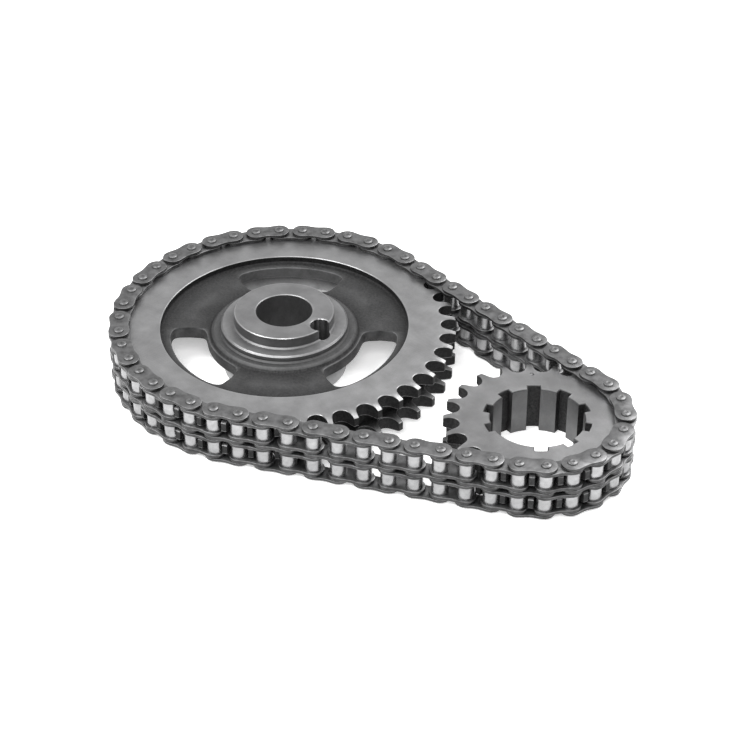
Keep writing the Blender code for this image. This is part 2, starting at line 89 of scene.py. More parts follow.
@dataclass
class Shell:
    """A surface of quads, with two shades between 0 and 1 at each point.

    Attributes:
        points: Places of the points, one row each.
        quads: Four point numbers for each face.
        wear: How far handling has brightened each point, together with a painted highlight on the edges.
        raw: How far each point is left rough, from 0, machined, to 1, as cast or cut by shearing; the same
            value also paints shade, darkening walls, recesses and the faces between the rows.
    """

    points: Array
    quads: Array
    wear: Array
    raw: Array

    def moved(self, turn: float = 0.0, along: tuple[float, float] = (0.0, 0.0), rise: float = 0.0) -> "Shell":
        """Turn the surface about the Z axis, then shift it.

        Args:
            turn: Angle in radians.
            along: Shift along X and Y.
            rise: Shift along Z.

        Returns:
            The surface in its new place.
        """
        cosine, sine = math.cos(turn), math.sin(turn)
        spin = np.array([[cosine, sine, 0.0], [-sine, cosine, 0.0], [0.0, 0.0, 1.0]])
        return Shell(self.points @ spin + [*along, rise], self.quads, self.wear, self.raw)

    def kept(self, mask: Array) -> "Shell":
        """Keep only the faces that a mask marks.

        Args:
            mask: True for each face that stays.

        Returns:
            The surface with fewer faces.
        """
        return Shell(self.points, self.quads[mask], self.wear, self.raw)

    def mirrored(self, middle: float) -> "Shell":
        """Mirror the surface in the plane x = middle, with its faces still outwards.

        Args:
            middle: Where the plane crosses the X axis.

        Returns:
            The mirrored surface.
        """
        points = self.points * [-1.0, 1.0, 1.0] + [2 * middle, 0.0, 0.0]
        return Shell(points, self.quads[:, ::-1], self.wear, self.raw)


def joined(shells: list[Shell]) -> Shell:
    """Put several surfaces into one.

    Args:
        shells: The surfaces.

    Returns:
        One surface that holds all of their faces.
    """
    counts = np.cumsum([0] + [len(shell.points) for shell in shells])
    quads = [shell.quads + start for shell, start in zip(shells, counts)]
    points, wear, raw = (np.concatenate([getattr(shell, part) for shell in shells])
                         for part in ("points", "wear", "raw"))
    return Shell(points, np.concatenate(quads), wear, raw)


def woven(rings: Array, wear: Array, raw: Array) -> Shell:
    """Skin a stack of rings whose last one meets the first.

    Formula: the quad at ring i and place j takes the points (i, j), (i, j + 1), (i + 1, j + 1) and
    (i + 1, j), where both rings and places wrap round.

    Args:
        rings: Points, indexed by ring, by place round the ring and by axis.
        wear: Edge brightening of each ring, or of each point of each ring, from handling and painted
            highlight.
        raw: Rawness of each ring, or of each point of each ring, which also paints shade.

    Returns:
        The skin.
    """
    count, around = rings.shape[:2]
    rows = np.arange(count)[:, None]
    places = np.arange(around)[None, :]
    below, beside = (rows + 1) % count, (places + 1) % around
    corners = (rows * around + places, rows * around + beside,
               below * around + beside, below * around + places)
    quads = np.stack(np.broadcast_arrays(*corners), axis=-1).reshape(-1, 4)
    shades = [np.broadcast_to(shade.reshape(count, -1), (count, around)).reshape(-1) for shade in (wear, raw)]
    return Shell(rings.reshape(-1, 3), quads, *shades)


def turned(profile: list[tuple[float, float, float]], steps: int) -> Shell:
    """Sweep a closed profile round the Z axis.

    Formula: x = radius * cos(angle), y = radius * sin(angle), z = height, with the profile's corners
    one way and evenly spaced angles the other way.

    Args:
        profile: Radius, height and edge brightening, from handling and painted highlight, of each corner,
            clockwise with the radius to the right.
        steps: Number of angles.

    Returns:
        The turned surface.
    """
    radius, height, wear = np.array(profile).T
    angle = np.arange(steps) * FULL_TURN / steps
    rings = np.stack([np.outer(radius, np.cos(angle)), np.outer(radius, np.sin(angle)),
                      np.outer(height, np.ones(steps))], axis=-1)
    return woven(rings, wear, np.zeros(len(profile)))


def mesh_of(name: str, shell: Shell) -> bpy.types.Mesh:
    """Make Blender's mesh of a surface: weld it, turn it outwards and shade it smooth.

    Points that share a place become one, a quad with two such corners becomes a triangle, and one
    with more is dropped.  The signed volume, a third of the sum of each face's centre dotted with its
    area vector, says whether the faces point inwards, and then they are all turned.

    Args:
        name: Name of the mesh.
        shell: The surface.

    Returns:
        The mesh, with point attributes "wear", handling marks with a painted edge highlight, and "raw",
        rawness with painted shade.
    """
    _, first, number = np.unique(np.round(shell.points / WELD).astype(np.int64), axis=0,
                                 return_index=True, return_inverse=True)
    points, faces = shell.points[first], number.reshape(-1)[shell.quads]
    corners = points[faces]
    spans = np.cross(corners[:, 2] - corners[:, 0], corners[:, 3] - corners[:, 1]) / 2
    if np.einsum("ij,ij->", corners.mean(axis=1), spans) < 0:
        faces = faces[:, ::-1]
    same = faces == np.roll(faces, -1, axis=1)
    whole = faces[same.sum(axis=1) == 0]
    pinched = faces[same.sum(axis=1) == 1]
    triangles = pinched[~same[same.sum(axis=1) == 1]].reshape(-1, 3)
    mesh = bpy.data.meshes.new(name)
    mesh.from_pydata(points, [], whole.tolist() + triangles.tolist())
    for label, shades in (("wear", shell.wear), ("raw", shell.raw)):
        attribute = mesh.attributes.new(label, "FLOAT", "POINT")
        attribute.data.foreach_set("value", shades[first].astype(np.float32))
    mesh.polygons.foreach_set("use_smooth", np.ones(len(mesh.polygons), bool))
    mesh.set_sharp_from_angle(angle=SHARP_ANGLE)
    mesh.update()
    return mesh


# ------------------------------------------------------------------ finishes


class Marks(Enum):
    """Tool marks that a surface can carry, by how much finer they are along each axis."""

    TUMBLED = (1.0, 1.0, 1.0)
    GROUND = (1.0, 1.0, 14.0)


class NodeSheet:
    """A material's node sheet, with short ways to add what the finishes share."""

    def __init__(self, name: str) -> None:
        """Start a material with its shader and the surface's own coordinates.

        Args:
            name: Name of the material.
        """
        self.material = bpy.data.materials.new(name)
        self.material.use_nodes = True
        self.tree = self.material.node_tree
        self.shader = self.tree.nodes["Principled BSDF"]
        self.place = self.tree.nodes.new("ShaderNodeTexCoord").outputs["Object"]

    def node(self, kind: str, inputs: dict[str, object], **options: object) -> bpy.types.Node:
        """Add a node.

        Args:
            kind: Blender's name for the node.
            inputs: A value, or another node's output, for each named input.
            options: The node's own settings.

        Returns:
            The node.
        """
        made = self.tree.nodes.new(kind)
        for option, value in options.items():
            setattr(made, option, value)
        for label, value in inputs.items():
            if isinstance(value, bpy.types.NodeSocket):
                self.tree.links.new(value, made.inputs[label])
            else:
                made.inputs[label].default_value = value
        return made

    def noise(self, grain: float, detail: float = 4.0, roughness: float = 0.55,
              stretch: tuple[float, float, float] = (1.0, 1.0, 1.0)) -> bpy.types.NodeSocket:
        """Cloudy pattern fixed to the surface.

        Args:
            grain: Size of a patch, in metres.
            detail: Octaves of finer detail.
            roughness: Strength of the finer detail.
            stretch: Frequency along each axis, against the others.

        Returns:
            Its value, about 0.5 on average.
        """
        scaled = self.node("ShaderNodeMapping", {"Vector": self.place, "Scale": stretch}).outputs[0]
        return self.node("ShaderNodeTexNoise", {"Vector": scaled, "Scale": 1 / grain, "Detail": detail,
                                                "Roughness": roughness}).outputs[0]

    def lathe_marks(self, centre: tuple[float, float], feed: float) -> bpy.types.NodeSocket:
        """Concentric tool marks round an upright axis.

        Formula: the rings repeat every 2 pi / 20 / scale, so the scale is 2 pi / 20 / feed.

        Args:
            centre: Where the axis stands.
            feed: Distance between marks.

        Returns:
            Height of the marks, from 0 to 1.
        """
        shift = (-centre[0], -centre[1], 0.0)
        shifted = self.node("ShaderNodeMapping", {"Vector": self.place, "Location": shift})
        return self.node("ShaderNodeTexWave", {"Vector": shifted.outputs[0], "Scale": FULL_TURN / 20 / feed,
                                               "Distortion": 0.6, "Detail": 2.0, "Detail Scale": 0.4},
                         wave_type="RINGS", rings_direction="Z").outputs[1]

    def ramp(self, value: bpy.types.NodeSocket, low: float, high: float, start: float,
             end: float) -> bpy.types.NodeSocket:
        """Map one range of values to another, with no overshoot.

        Args:
            value: The value.
            low: Where the first range starts.
            high: Where it ends.
            start: What low becomes.
            end: What high becomes.

        Returns:
            The mapped value.
        """
        return self.node("ShaderNodeMapRange", {"Value": value, "From Min": low, "From Max": high,
                                                "To Min": start, "To Max": end}).outputs[0]

    def sum_of(self, operation: str, first: object, second: object) -> bpy.types.NodeSocket:
        """Work out a sum with two values.

        Args:
            operation: Blender's name for it, such as MULTIPLY.
            first: The first value.
            second: The second value.

        Returns:
            The result.
        """
        made = self.tree.nodes.new("ShaderNodeMath")
        made.operation = operation
        for socket, value in zip(made.inputs, (first, second)):
            if isinstance(value, bpy.types.NodeSocket):
                self.tree.links.new(value, socket)
            else:
                socket.default_value = value
        return made.outputs[0]

    def mixed(self, share: bpy.types.NodeSocket, first: object, second: object) -> bpy.types.NodeSocket:
        """Mix two greys or colours.

        Args:
            share: How much of the second one there is.
            first: A grey, or an output.
            second: A grey, or an output.

        Returns:
            The mixed colour.
        """
        made = self.tree.nodes.new("ShaderNodeMix")
        made.data_type = "RGBA"
        self.tree.links.new(share, made.inputs[0])
        for socket, value in ((made.inputs[6], first), (made.inputs[7], second)):
            if isinstance(value, bpy.types.NodeSocket):
                self.tree.links.new(value, socket)
            else:
                socket.default_value = (value, value, value * 1.01, 1.0)
        return made.outputs[2]

    def shade(self, label: str) -> bpy.types.NodeSocket:
        """The surface's own wear or rawness."""
        return self.node("ShaderNodeAttribute", {}, attribute_name=label).outputs["Fac"]

    def finish(self, colour: bpy.types.NodeSocket, roughness: bpy.types.NodeSocket,
               height: bpy.types.NodeSocket, depth: float) -> bpy.types.Material:
        """Join colour, roughness and relief to the shader.

        Args:
            colour: The colour.
            roughness: The roughness.
            height: The relief, from 0 to 1.
            depth: How deep the relief is, in metres.

        Returns:
            The finished material.
        """
        bump = self.node("ShaderNodeBump", {"Height": height, "Distance": depth, "Strength": 1.0})
        for label, socket in (("Base Color", colour), ("Roughness", roughness), ("Normal", bump.outputs[0])):
            self.tree.links.new(socket, self.shader.inputs[label])
        return self.material


@dataclass(frozen=True)
class Steel:
    """A steel finish.

    Attributes:
        name: Name of the material.
        slot: The record's slot that it belongs to.
        dark: Grey in the darkest patches.
        light: Grey in the lightest patches.
        worn_and_highlit: Grey where handling has polished it and where edges carry a painted highlight.
        roughness: Lowest and highest roughness.
        marks: Tool marks.
        grain: Size of the patches.
        relief: Depth of the tool marks.
        fine_grain: Distance between tool marks.
        sheared_and_shaded: Grey of the plates' sides, shear-cut and darkened further as painted shade, as a
            share of the darkest patches' grey.
        metallic: How metallic it is.
    """

    name: str
    slot: str
    dark: float
    light: float
    worn_and_highlit: float
    roughness: tuple[float, float]
    marks: Marks
    grain: float = 3.0 * MM
    relief: float = 0.01 * MM
    fine_grain: float = 0.25 * MM
    sheared_and_shaded: float = 0.3
    metallic: float = 0.95

    def material(self) -> bpy.types.Material:
        """Build the material.

        Returns:
            The material.
        """
        sheet = NodeSheet(self.name)
        sheet.shader.inputs["Metallic"].default_value = self.metallic
        patches = sheet.noise(self.grain)
        fine = sheet.noise(self.fine_grain, 3.0, 0.6, self.marks.value)
        cloudy = sheet.sum_of("ADD", patches, sheet.sum_of("MULTIPLY", fine, 0.35))
        shade = sheet.ramp(cloudy, 0.45, 0.95, 0.0, 1.0)
        # Edges are brightened towards the polished grey: partly polish from handling, partly a painted
        # highlight.
        worn_and_highlit = sheet.sum_of("MULTIPLY", sheet.shade("wear"), sheet.ramp(patches, 0.3, 0.6, 0.35, 1.0))
        clean = sheet.mixed(shade, self.dark, self.light)
        # Rough points take a darker grey: the plates' shear-cut sides, darkened further as painted shade.
        skin = sheet.mixed(sheet.shade("raw"), clean, self.sheared_and_shaded * self.dark)
        colour = sheet.mixed(worn_and_highlit, skin, self.worn_and_highlit)
        gloss = sheet.ramp(fine, 0.3, 0.7, *self.roughness)
        return sheet.finish(colour, gloss, fine, self.relief)


@dataclass(frozen=True)
class SprocketMetal:
    """A sprocket's metal: machined faces with lathe marks, and a dark rough skin on unmachined places, which
    also serves as painted shade on walls and recesses.

    Attributes:
        name: Name of the material.
        slot: The record's slot that it belongs to.
        centre: Where the shaft stands.
        machined: Darkest and lightest grey of the machined faces.
        skin: Darkest and lightest grey of the rough skin, also used as painted shade.
        worn_and_highlit: Grey of the edges, polished by handling and brightened as a painted highlight.
        feed: Distance between lathe marks.
        cloud: Size of the faint clouds on the machined faces.
        pit: Size of the pits in the raw skin.
        relief: Depth of the pits.
        roughness: Roughness of the machined faces and of the raw skin.
        metallic: How metallic it is.
    """

    name: str
    slot: str
    centre: tuple[float, float]
    machined: tuple[float, float]
    skin: tuple[float, float]
    worn_and_highlit: float
    feed: float = 0.45 * MM
    cloud: float = 9.0 * MM
    pit: float = 0.9 * MM
    relief: float = 0.12 * MM
    roughness: tuple[float, float] = (0.34, 0.62)
    metallic: float = 0.9

    def material(self) -> bpy.types.Material:
        """Build the material.

        Returns:
            The material.
        """
        sheet = NodeSheet(self.name)
        sheet.shader.inputs["Metallic"].default_value = self.metallic
        raw = sheet.shade("raw")
        clouds = sheet.noise(self.cloud, 5.0, 0.6)
        pits = sheet.noise(self.pit, 6.0, 0.7)
        marks = sheet.lathe_marks(self.centre, self.feed)
        cloudy = sheet.sum_of("MULTIPLY", clouds, 0.75)
        shine = sheet.sum_of("ADD", cloudy, sheet.sum_of("MULTIPLY", marks, 0.25))
        cut = sheet.mixed(sheet.ramp(shine, 0.3, 0.75, 0.0, 1.0), *self.machined)
        skin = sheet.mixed(sheet.ramp(pits, 0.35, 0.65, 0.0, 1.0), *self.skin)
        # Painted shade: the rawness value darkens walls, recesses and the faces between the rows to the skin
        # grey, as well as marking real cast skin.
        base = sheet.mixed(raw, cut, skin)
        # Painted highlight: edges are brightened towards the edge grey, beyond the polish of handling.
        edge = sheet.sum_of("MULTIPLY", sheet.shade("wear"), sheet.ramp(clouds, 0.3, 0.6, 0.3, 1.0))
        colour = sheet.mixed(edge, base, self.worn_and_highlit)
        gloss = sheet.ramp(raw, 0.0, 1.0, *self.roughness)
        rough = sheet.sum_of("ADD", gloss, sheet.ramp(pits, 0.3, 0.7, -0.05, 0.07))
        lathe = sheet.sum_of("MULTIPLY", marks, sheet.ramp(raw, 0.0, 1.0, 0.12, 0.0))
        cast = sheet.sum_of("MULTIPLY", pits, sheet.ramp(raw, 0.0, 1.0, 0.10, 1.0))
        return sheet.finish(colour, rough, sheet.sum_of("ADD", lathe, cast), self.relief)


# ------------------------------------------------------------------ the loop


@dataclass(frozen=True)
class ChainSizes:
    """Sizes of the chain, the same as in the CAD."""

    pitch: float = 9.525 * MM
    roller_radius: float = 3.175 * MM
    inner_width: float = 5.72 * MM
    inner_plate: float = 1.30 * MM
    middle_plate: float = 1.42 * MM
    outer_plate: float = 1.10 * MM
    side_gap: float = 0.25 * MM
    plate_half_height: float = 4.10 * MM
    pin_radius: float = 1.64 * MM
    pin_end: float = 0.75 * MM
    bushing_bore: float = 1.74 * MM
    open_bore: float = 2.09 * MM
    bushing_radius: float = 2.39 * MM
    running_gap: float = 0.06 * MM

    @property
    def row_pitch(self) -> float:
        """Distance between the middles of the two rows."""
        return self.inner_width + 2 * self.inner_plate + self.middle_plate + 2 * self.side_gap

    @property
    def outer_low(self) -> float:
        """Height of the outer plates' inner faces above the middle."""
        return self.row_pitch / 2 + self.inner_width / 2 + self.inner_plate + self.side_gap

    @property
    def outer_high(self) -> float:
        """Height of the outer plates' outer faces above the middle."""
        return self.outer_low + self.outer_plate

    @property
    def pin_half(self) -> float:
        """Half of a pin's length."""
        return self.outer_high + self.pin_end


class Stretch(Enum):
    """Stretches of the loop, by the CAD body that carries them."""

    CAM = "cam_group"
    FRONT = "front_strand"
    CRANK = "crank_group"
    BACK = "back_strand"


@dataclass
class Loop:
    """The chain's path round both sprockets, worked out from the frame's joints.

    Pins are numbered anticlockwise seen from above, from the rear strand's pin on the large sprocket.
    Links from an even pin are outer links.

    Attributes:
        sizes: The chain's sizes.
        cam_teeth: Teeth of the large sprocket.
        crank_teeth: Teeth of the small sprocket.
        cam_links: Links that lie on the large sprocket.
        crank_links: Links that lie on the small sprocket.
        strand_links: Links of each straight strand.
        pins: Places of all the pins, one row each.
        cam: Place of the large sprocket's shaft.
        crank: Place of the small sprocket's shaft.
        middle: Height of the chain's middle.
    """

    frame: dict
    sizes: ChainSizes
    cam_teeth: int = 42
    crank_teeth: int = 21
    cam_links: int = 25
    crank_links: int = 9
    strand_links: int = 11
    pins: Array = field(init=False)
    cam: tuple[float, float] = field(init=False)
    crank: tuple[float, float] = field(init=False)
    middle: float = field(init=False)

    def __post_init__(self) -> None:
        """Place the shafts and every pin."""
        pivots = {joint["name"]: np.array(joint["pos_m"]) for joint in self.frame["joints"]}
        rear, front = pivots["back_strand_turn"], pivots["cam_turn"]
        small = pivots["crank_turn"]
        low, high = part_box("cam_sprocket")
        self.middle = float(front[2])
        self.cam = ((low.x + high.x) / 2, (low.y + high.y) / 2)
        drop = small[1] - self.cam[1]
        back = math.sqrt(self.pitch_radius(self.crank_teeth) ** 2 - drop ** 2)
        self.crank = (float(small[0] - back), self.cam[1])
        cam_pins = self.seated(rear[:2], self.cam, self.cam_teeth, self.cam_links)
        crank_pins = self.seated(small[:2], self.crank, self.crank_teeth, self.crank_links)
        self.pins = np.concatenate([cam_pins, self.strand(cam_pins[-1], crank_pins[0]), crank_pins,
                                    self.strand(crank_pins[-1], cam_pins[0])])

    def pitch_radius(self, teeth: int) -> float:
        """Radius of the circle through the pins on a sprocket: half a pitch over sin(180 deg / teeth)."""
        return self.sizes.pitch / 2 / math.sin(math.pi / teeth)

    def seated(self, first: Array, shaft: tuple[float, float], teeth: int, links: int) -> Array:
        """Pins on a sprocket, one tooth apart.

        Args:
            first: The first pin.
            shaft: The sprocket's shaft.
            teeth: The sprocket's teeth.
            links: How many links lie on it.

        Returns:
            The pins, one row each.
        """
        start = math.atan2(first[1] - shaft[1], first[0] - shaft[0])
        angles = start + np.arange(links + 1) * FULL_TURN / teeth
        radius = self.pitch_radius(teeth)
        return np.stack([shaft[0] + radius * np.cos(angles), shaft[1] + radius * np.sin(angles)], axis=1)

    def strand(self, start: Array, end: Array) -> Array:
        """Pins strictly between the ends of a straight strand.

        Args:
            start: Its first pin.
            end: Its last pin.

        Returns:
            The pins between them, one row each.
        """
        share = np.arange(1, self.strand_links)[:, None] / self.strand_links
        return start + (end - start) * share

    def link_place(self, index: int) -> tuple[float, tuple[float, float]]:
        """Direction of a link and the place of its first pin.

        Args:
            index: The link's number.

        Returns:
            The angle and the place.
        """
        here, there = self.pins[index], self.pins[(index + 1) % len(self.pins)]
        return math.atan2(there[1] - here[1], there[0] - here[0]), (float(here[0]), float(here[1]))

    def bearing(self, shaft: tuple[float, float], index: int) -> float:
        """Direction of a pin from a shaft, as an angle."""
        return math.atan2(self.pins[index][1] - shaft[1], self.pins[index][0] - shaft[0])

    def stretch_of(self, index: int) -> tuple[Stretch, int]:
        """The stretch that a link is on, and its number along it.

        Args:
            index: The link's number.

        Returns:
            The stretch, and the number from 0.
        """
        for stretch, count in ((Stretch.CAM, self.cam_links), (Stretch.FRONT, self.strand_links),
                               (Stretch.CRANK, self.crank_links), (Stretch.BACK, self.strand_links)):
            if index < count:
                return stretch, index
            index -= count
        raise ValueError("the loop has no such link")


# ------------------------------------------------------------------ links


@dataclass(frozen=True)
class Plate:
    """A link plate with a waist, two holes and rounded edges.

    Attributes:
        sizes: The chain's sizes.
        thickness: Thickness of the plate.
        hole: Radius of its holes.
        waist: How far its sides draw in.
        edge: Radius of its rounded edges.
        bevel: Drop of an edge's middle, as a share of the edge.
        arc_steps: Facets round an end.
        side_steps: Facets along half a side.
    """

    sizes: ChainSizes
    thickness: float
    hole: float
    waist: float = 0.55 * MM
    edge: float = 0.22 * MM
    bevel: float = 0.3
    arc_steps: int = 12
    side_steps: int = 4

    def half_outline(self, inset: float) -> Array:
        """Outline of the half round the first pin, from the cut at half a pitch and back to it.

        Formula: the end is half a circle of the plate's half height less the inset, and each side is
        y = half height - inset - waist * (1 - cos(2 pi x / pitch)) / 2.

        Args:
            inset: How far the outline is drawn in.

        Returns:
            The outline's points, anticlockwise, the cut's two corners and its middle first.
        """
        height, pitch = self.sizes.plate_half_height - inset, self.sizes.pitch
        x = np.linspace(pitch / 2, 0, self.side_steps, endpoint=False)
        y = height - self.waist * (1 - np.cos(FULL_TURN * x / pitch)) / 2
        angle = np.linspace(math.pi / 2, 3 * math.pi / 2, self.arc_steps + 1)
        upper = np.stack([x, y], axis=1)
        end = height * np.stack([np.cos(angle), np.sin(angle)], axis=1)
        lower = upper[:0:-1] * [1.0, -1.0]
        cut = np.array([[pitch / 2, -y[0]], [pitch / 2, 0.0]])
        return np.concatenate([cut, upper, end, lower])

    def shell(self) -> Shell:
        """Build the plate, with its middle at z = 0.

        Formula: rings run up the hole, out over the top face, down the rounded edge and back under.
        The half round the first pin is mirrored for the other, and walls on the cut are dropped.

        Returns:
            The plate's surface.
        """
        half, edge = self.thickness / 2, self.edge
        facing = self.half_outline(0.0)
        angle = np.arctan2(facing[:, 1], facing[:, 0])
        ray = np.stack([np.cos(angle), np.sin(angle)], axis=1)
        drop = self.bevel * edge
        # The last column brightens the rounded edge: handling polish and a painted highlight.
        ladder = [(None, half, 0.1), (edge, half, 0.2), (drop, half - drop, 0.7), (0.0, half - edge, 0.15)]
        upper = [(self.hole * ray if inset is None else self.half_outline(inset), height, wear)
                 for inset, height, wear in ladder]
        steps = upper + [(flat, -height, wear) for flat, height, wear in reversed(upper)]
        rings = np.stack([np.column_stack([flat, np.full(len(flat), height)]) for flat, height, _ in steps])
        wear = np.array([wear for *_, wear in steps])
        # The plates' sides are marked for a darker grey: shear-cut metal, and painted shade on the sides.
        sheared_and_shaded = np.array([abs(height) < half - 0.5 * edge for _, height, _ in steps], float)
        skin = woven(rings, wear, sheared_and_shaded)
        on_cut = np.abs(skin.points[:, 0] - self.sizes.pitch / 2) < 2 * WELD
        near = skin.kept(~on_cut[skin.quads].all(axis=1))
        return joined([near, near.mirrored(self.sizes.pitch / 2)])


@dataclass(frozen=True)
class Pin:
    """A pin with a riveted, lightly dished head at each end.

    Attributes:
        sizes: The chain's sizes.
        head: Radius of its heads.
        dish: Radius of the dish in a head.
        dish_depth: Depth of the dish.
        crown: Radius of a head's flat crown.
        round_off: How far a head's rim is rounded down.
        lift: Gap between a head and its plate, so that the two don't flicker.
        steps: Facets round it.
    """

    sizes: ChainSizes
    head: float = 1.92 * MM
    dish: float = 0.5 * MM
    dish_depth: float = 0.10 * MM
    crown: float = 1.3 * MM
    round_off: float = 0.3 * MM
    lift: float = 0.01 * MM
    steps: int = 16

    def shell(self) -> Shell:
        """Build the pin, standing on the Z axis with its middle at z = 0.

        Returns:
            The pin's surface.
        """
        top, face = self.sizes.pin_half, self.sizes.outer_high
        dished, seated = top - self.dish_depth, face + self.lift
        rim = 0.4 * self.round_off
        # The last column paints highlight rings on the dish rim, the crown and the head's rounded rim, with
        # some polish from handling.
        upper = [(0.0, dished, 0.1), (self.dish, dished, 0.1), (self.dish + self.round_off, top, 0.4),
                 (self.crown, top - 0.4 * self.dish_depth, 0.4), (self.head - rim, top - self.round_off, 0.5),
                 (self.head, face + rim, 0.2), (self.head - 0.5 * self.dish_depth, seated, 0.0),
                 (self.sizes.pin_radius, seated, 0.0)]
        lower = [(radius, -height, wear) for radius, height, wear in reversed(upper)]
        return turned(upper + lower, self.steps)


@dataclass(frozen=True)
class Tube:
    """A roller or a bushing.

    Attributes:
        radius: Outer radius.
        bore: Inner radius.
        length: Length along the pin.
        edge: Size of the broken edges.
        steps: Facets round it.
        bevel: Drop of an outer edge's middle, as a share of the edge.
        polish: How far along the outside an edge's polish and painted highlight reach, in edges.
    """

    radius: float
    bore: float
    length: float
    edge: float
    steps: int
    bevel: float = 0.3
    polish: float = 4.0

    def shell(self) -> Shell:
        """Build the tube, standing on the Z axis with its middle at z = 0.

        Returns:
            The tube's surface.
        """
        half, edge = self.length / 2, self.edge
        drop = self.bevel * edge
        # The last column brightens the broken edges: handling polish and a painted highlight, strongest on
        # the outer rim.
        upper = [(self.bore, half - edge, 0.0), (self.bore + edge, half, 0.3),
                 (self.radius - edge, half, 0.6), (self.radius - drop, half - drop, 1.0),
                 (self.radius, half - edge, 0.8), (self.radius, half - self.polish * edge, 0.0)]
        lower = [(radius, -height, wear) for radius, height, wear in reversed(upper)]
        return turned(upper + lower, self.steps)


@dataclass
class Chain:
    """All the links.

    Attributes:
        loop: Where the links lie.
        sizes: The chain's sizes.
        detailed: Number of the inner link that the CAD takes down to single pieces; the next link is
            the outer one.
        plate: Finish of the plates.
        roller: Finish of the rollers.
        pin: Finish of the pins.
        bushing: Finish of the bushings.
        roller_edge: Size of the rollers' broken edges.
        bushing_edge: Size of the bushings' broken edges.
        roller_steps: Facets round a roller.
        bushing_steps: Facets round a bushing.
        drawings: Each kind of piece, drawn once.
        metals: Each kind's finish and its material.
    """

    loop: Loop
    sizes: ChainSizes
    detailed: int = 29
    plate: Steel = Steel("oiled_plate_steel", "plate_steel", 0.062, 0.15, 0.30, (0.32, 0.48),
                         Marks.TUMBLED)
    roller: Steel = Steel("ground_roller_steel", "roller_steel", 0.23, 0.33, 0.38, (0.22, 0.34),
                          Marks.GROUND, 2.0 * MM, 0.004 * MM)
    pin: Steel = Steel("riveted_pin_steel", "pin_steel", 0.055, 0.13, 0.26, (0.34, 0.48),
                       Marks.TUMBLED, 1.5 * MM)
    bushing: Steel = Steel("hardened_bushing_steel", "pin_steel", 0.12, 0.22, 0.30, (0.28, 0.40),
                           Marks.GROUND, 1.5 * MM)
    roller_edge: float = 0.16 * MM
    bushing_edge: float = 0.08 * MM
    roller_steps: int = 24
    bushing_steps: int = 16
    drawings: dict[str, Shell] = field(init=False)
    metals: dict[str, tuple[Steel, bpy.types.Material]] = field(init=False)

    def __post_init__(self) -> None:
        """Draw each kind of piece and mix each finish once."""
        sizes = self.sizes
        roller_length = sizes.inner_width - 2 * sizes.running_gap
        bushing_length = sizes.inner_width + 2 * sizes.inner_plate
        bushing, opened = (Tube(sizes.bushing_radius, bore, bushing_length, self.bushing_edge,
                                self.bushing_steps) for bore in (sizes.bushing_bore, sizes.open_bore))
        roller = Tube(sizes.roller_radius, sizes.bushing_radius + sizes.running_gap, roller_length,
                      self.roller_edge, self.roller_steps)
        self.drawings = {
            "outer_plate": Plate(sizes, sizes.outer_plate, sizes.pin_radius).shell(),
            "middle_plate": Plate(sizes, sizes.middle_plate, sizes.pin_radius).shell(),
            "inner_plate": Plate(sizes, sizes.inner_plate, sizes.bushing_radius).shell(),
            "pin": Pin(sizes).shell(),
            "bushing": bushing.shell(),
            "open_bushing": opened.shell(),
            "roller": roller.shell()}
        self.metals = {kind: (steel, steel.material()) for kind, steel in (
            ("plate", self.plate), ("pin", self.pin), ("bushing", self.bushing), ("roller", self.roller))}

    def outer_pieces(self) -> dict[str, Shell]:
        """Plates and pins of an outer link, by name.

        Returns:
            The pieces' surfaces.
        """
        level = (self.sizes.outer_low + self.sizes.outer_high) / 2
        ends = {"left": 0.0, "right": self.sizes.pitch}
        plates = {"outer_plate_upper": self.drawings["outer_plate"].moved(rise=level),
                  "middle_plate": self.drawings["middle_plate"],
                  "outer_plate_lower": self.drawings["outer_plate"].moved(rise=-level)}
        pins = {f"pin_{end}": self.drawings["pin"].moved(along=(x, 0.0)) for end, x in ends.items()}
        return plates | pins

    def inner_pieces(self, opened: bool) -> dict[str, Shell]:
        """Plates, bushings and rollers of an inner link, by name.

        Args:
            opened: Whether its first pin is the one where the loop of joints is opened, which needs room.

        Returns:
            The pieces' surfaces.
        """
        offset = (self.sizes.inner_width + self.sizes.inner_plate) / 2
        ends = {"left": 0.0, "right": self.sizes.pitch}
        pieces = {}
        for row, side in (("upper", 1), ("lower", -1)):
            level = side * self.sizes.row_pitch / 2
            for where, shift in (("top", offset), ("bottom", -offset)):
                pieces[f"inner_plate_{row}_{where}"] = self.drawings["inner_plate"].moved(rise=level + shift)
            for end, x in ends.items():
                tube = self.drawings["open_bushing" if opened and end == "left" else "bushing"]
                pieces[f"bushing_{row}_{end}"] = tube.moved(along=(x, 0.0), rise=level)
                pieces[f"roller_{row}_{end}"] = self.drawings["roller"].moved(along=(x, 0.0), rise=level)
        return pieces

    def nodes_of(self, index: int) -> list[str]:
        """CAD nodes that hold a link.

        Args:
            index: The link's number.

        Returns:
            Their names.
        """
        stretch, number = self.loop.stretch_of(index)
        if stretch is Stretch.FRONT:
            order = number // 2 + 1 - (index > self.detailed)
            if index % 2 == 0:
                return [f"front_outer_link_{order}"]
            return [f"front_inner_link_{order}_{row}" for row in ("upper", "lower")]
        if stretch is Stretch.BACK:
            if number == 0:
                return ["back_inner_link_upper", "back_inner_link_lower"]
            return [f"back_link_pair_{(number + 1) // 2:02d}"]
        prefix, links = "crank", self.loop.crank_links
        if stretch is Stretch.CAM:
            prefix, links = "cam", self.loop.cam_links
        if number == links - 1:
            return [f"{prefix}_outer_link"]
        return [f"{prefix}_link_pair_{number // 2 + 1:02d}"]

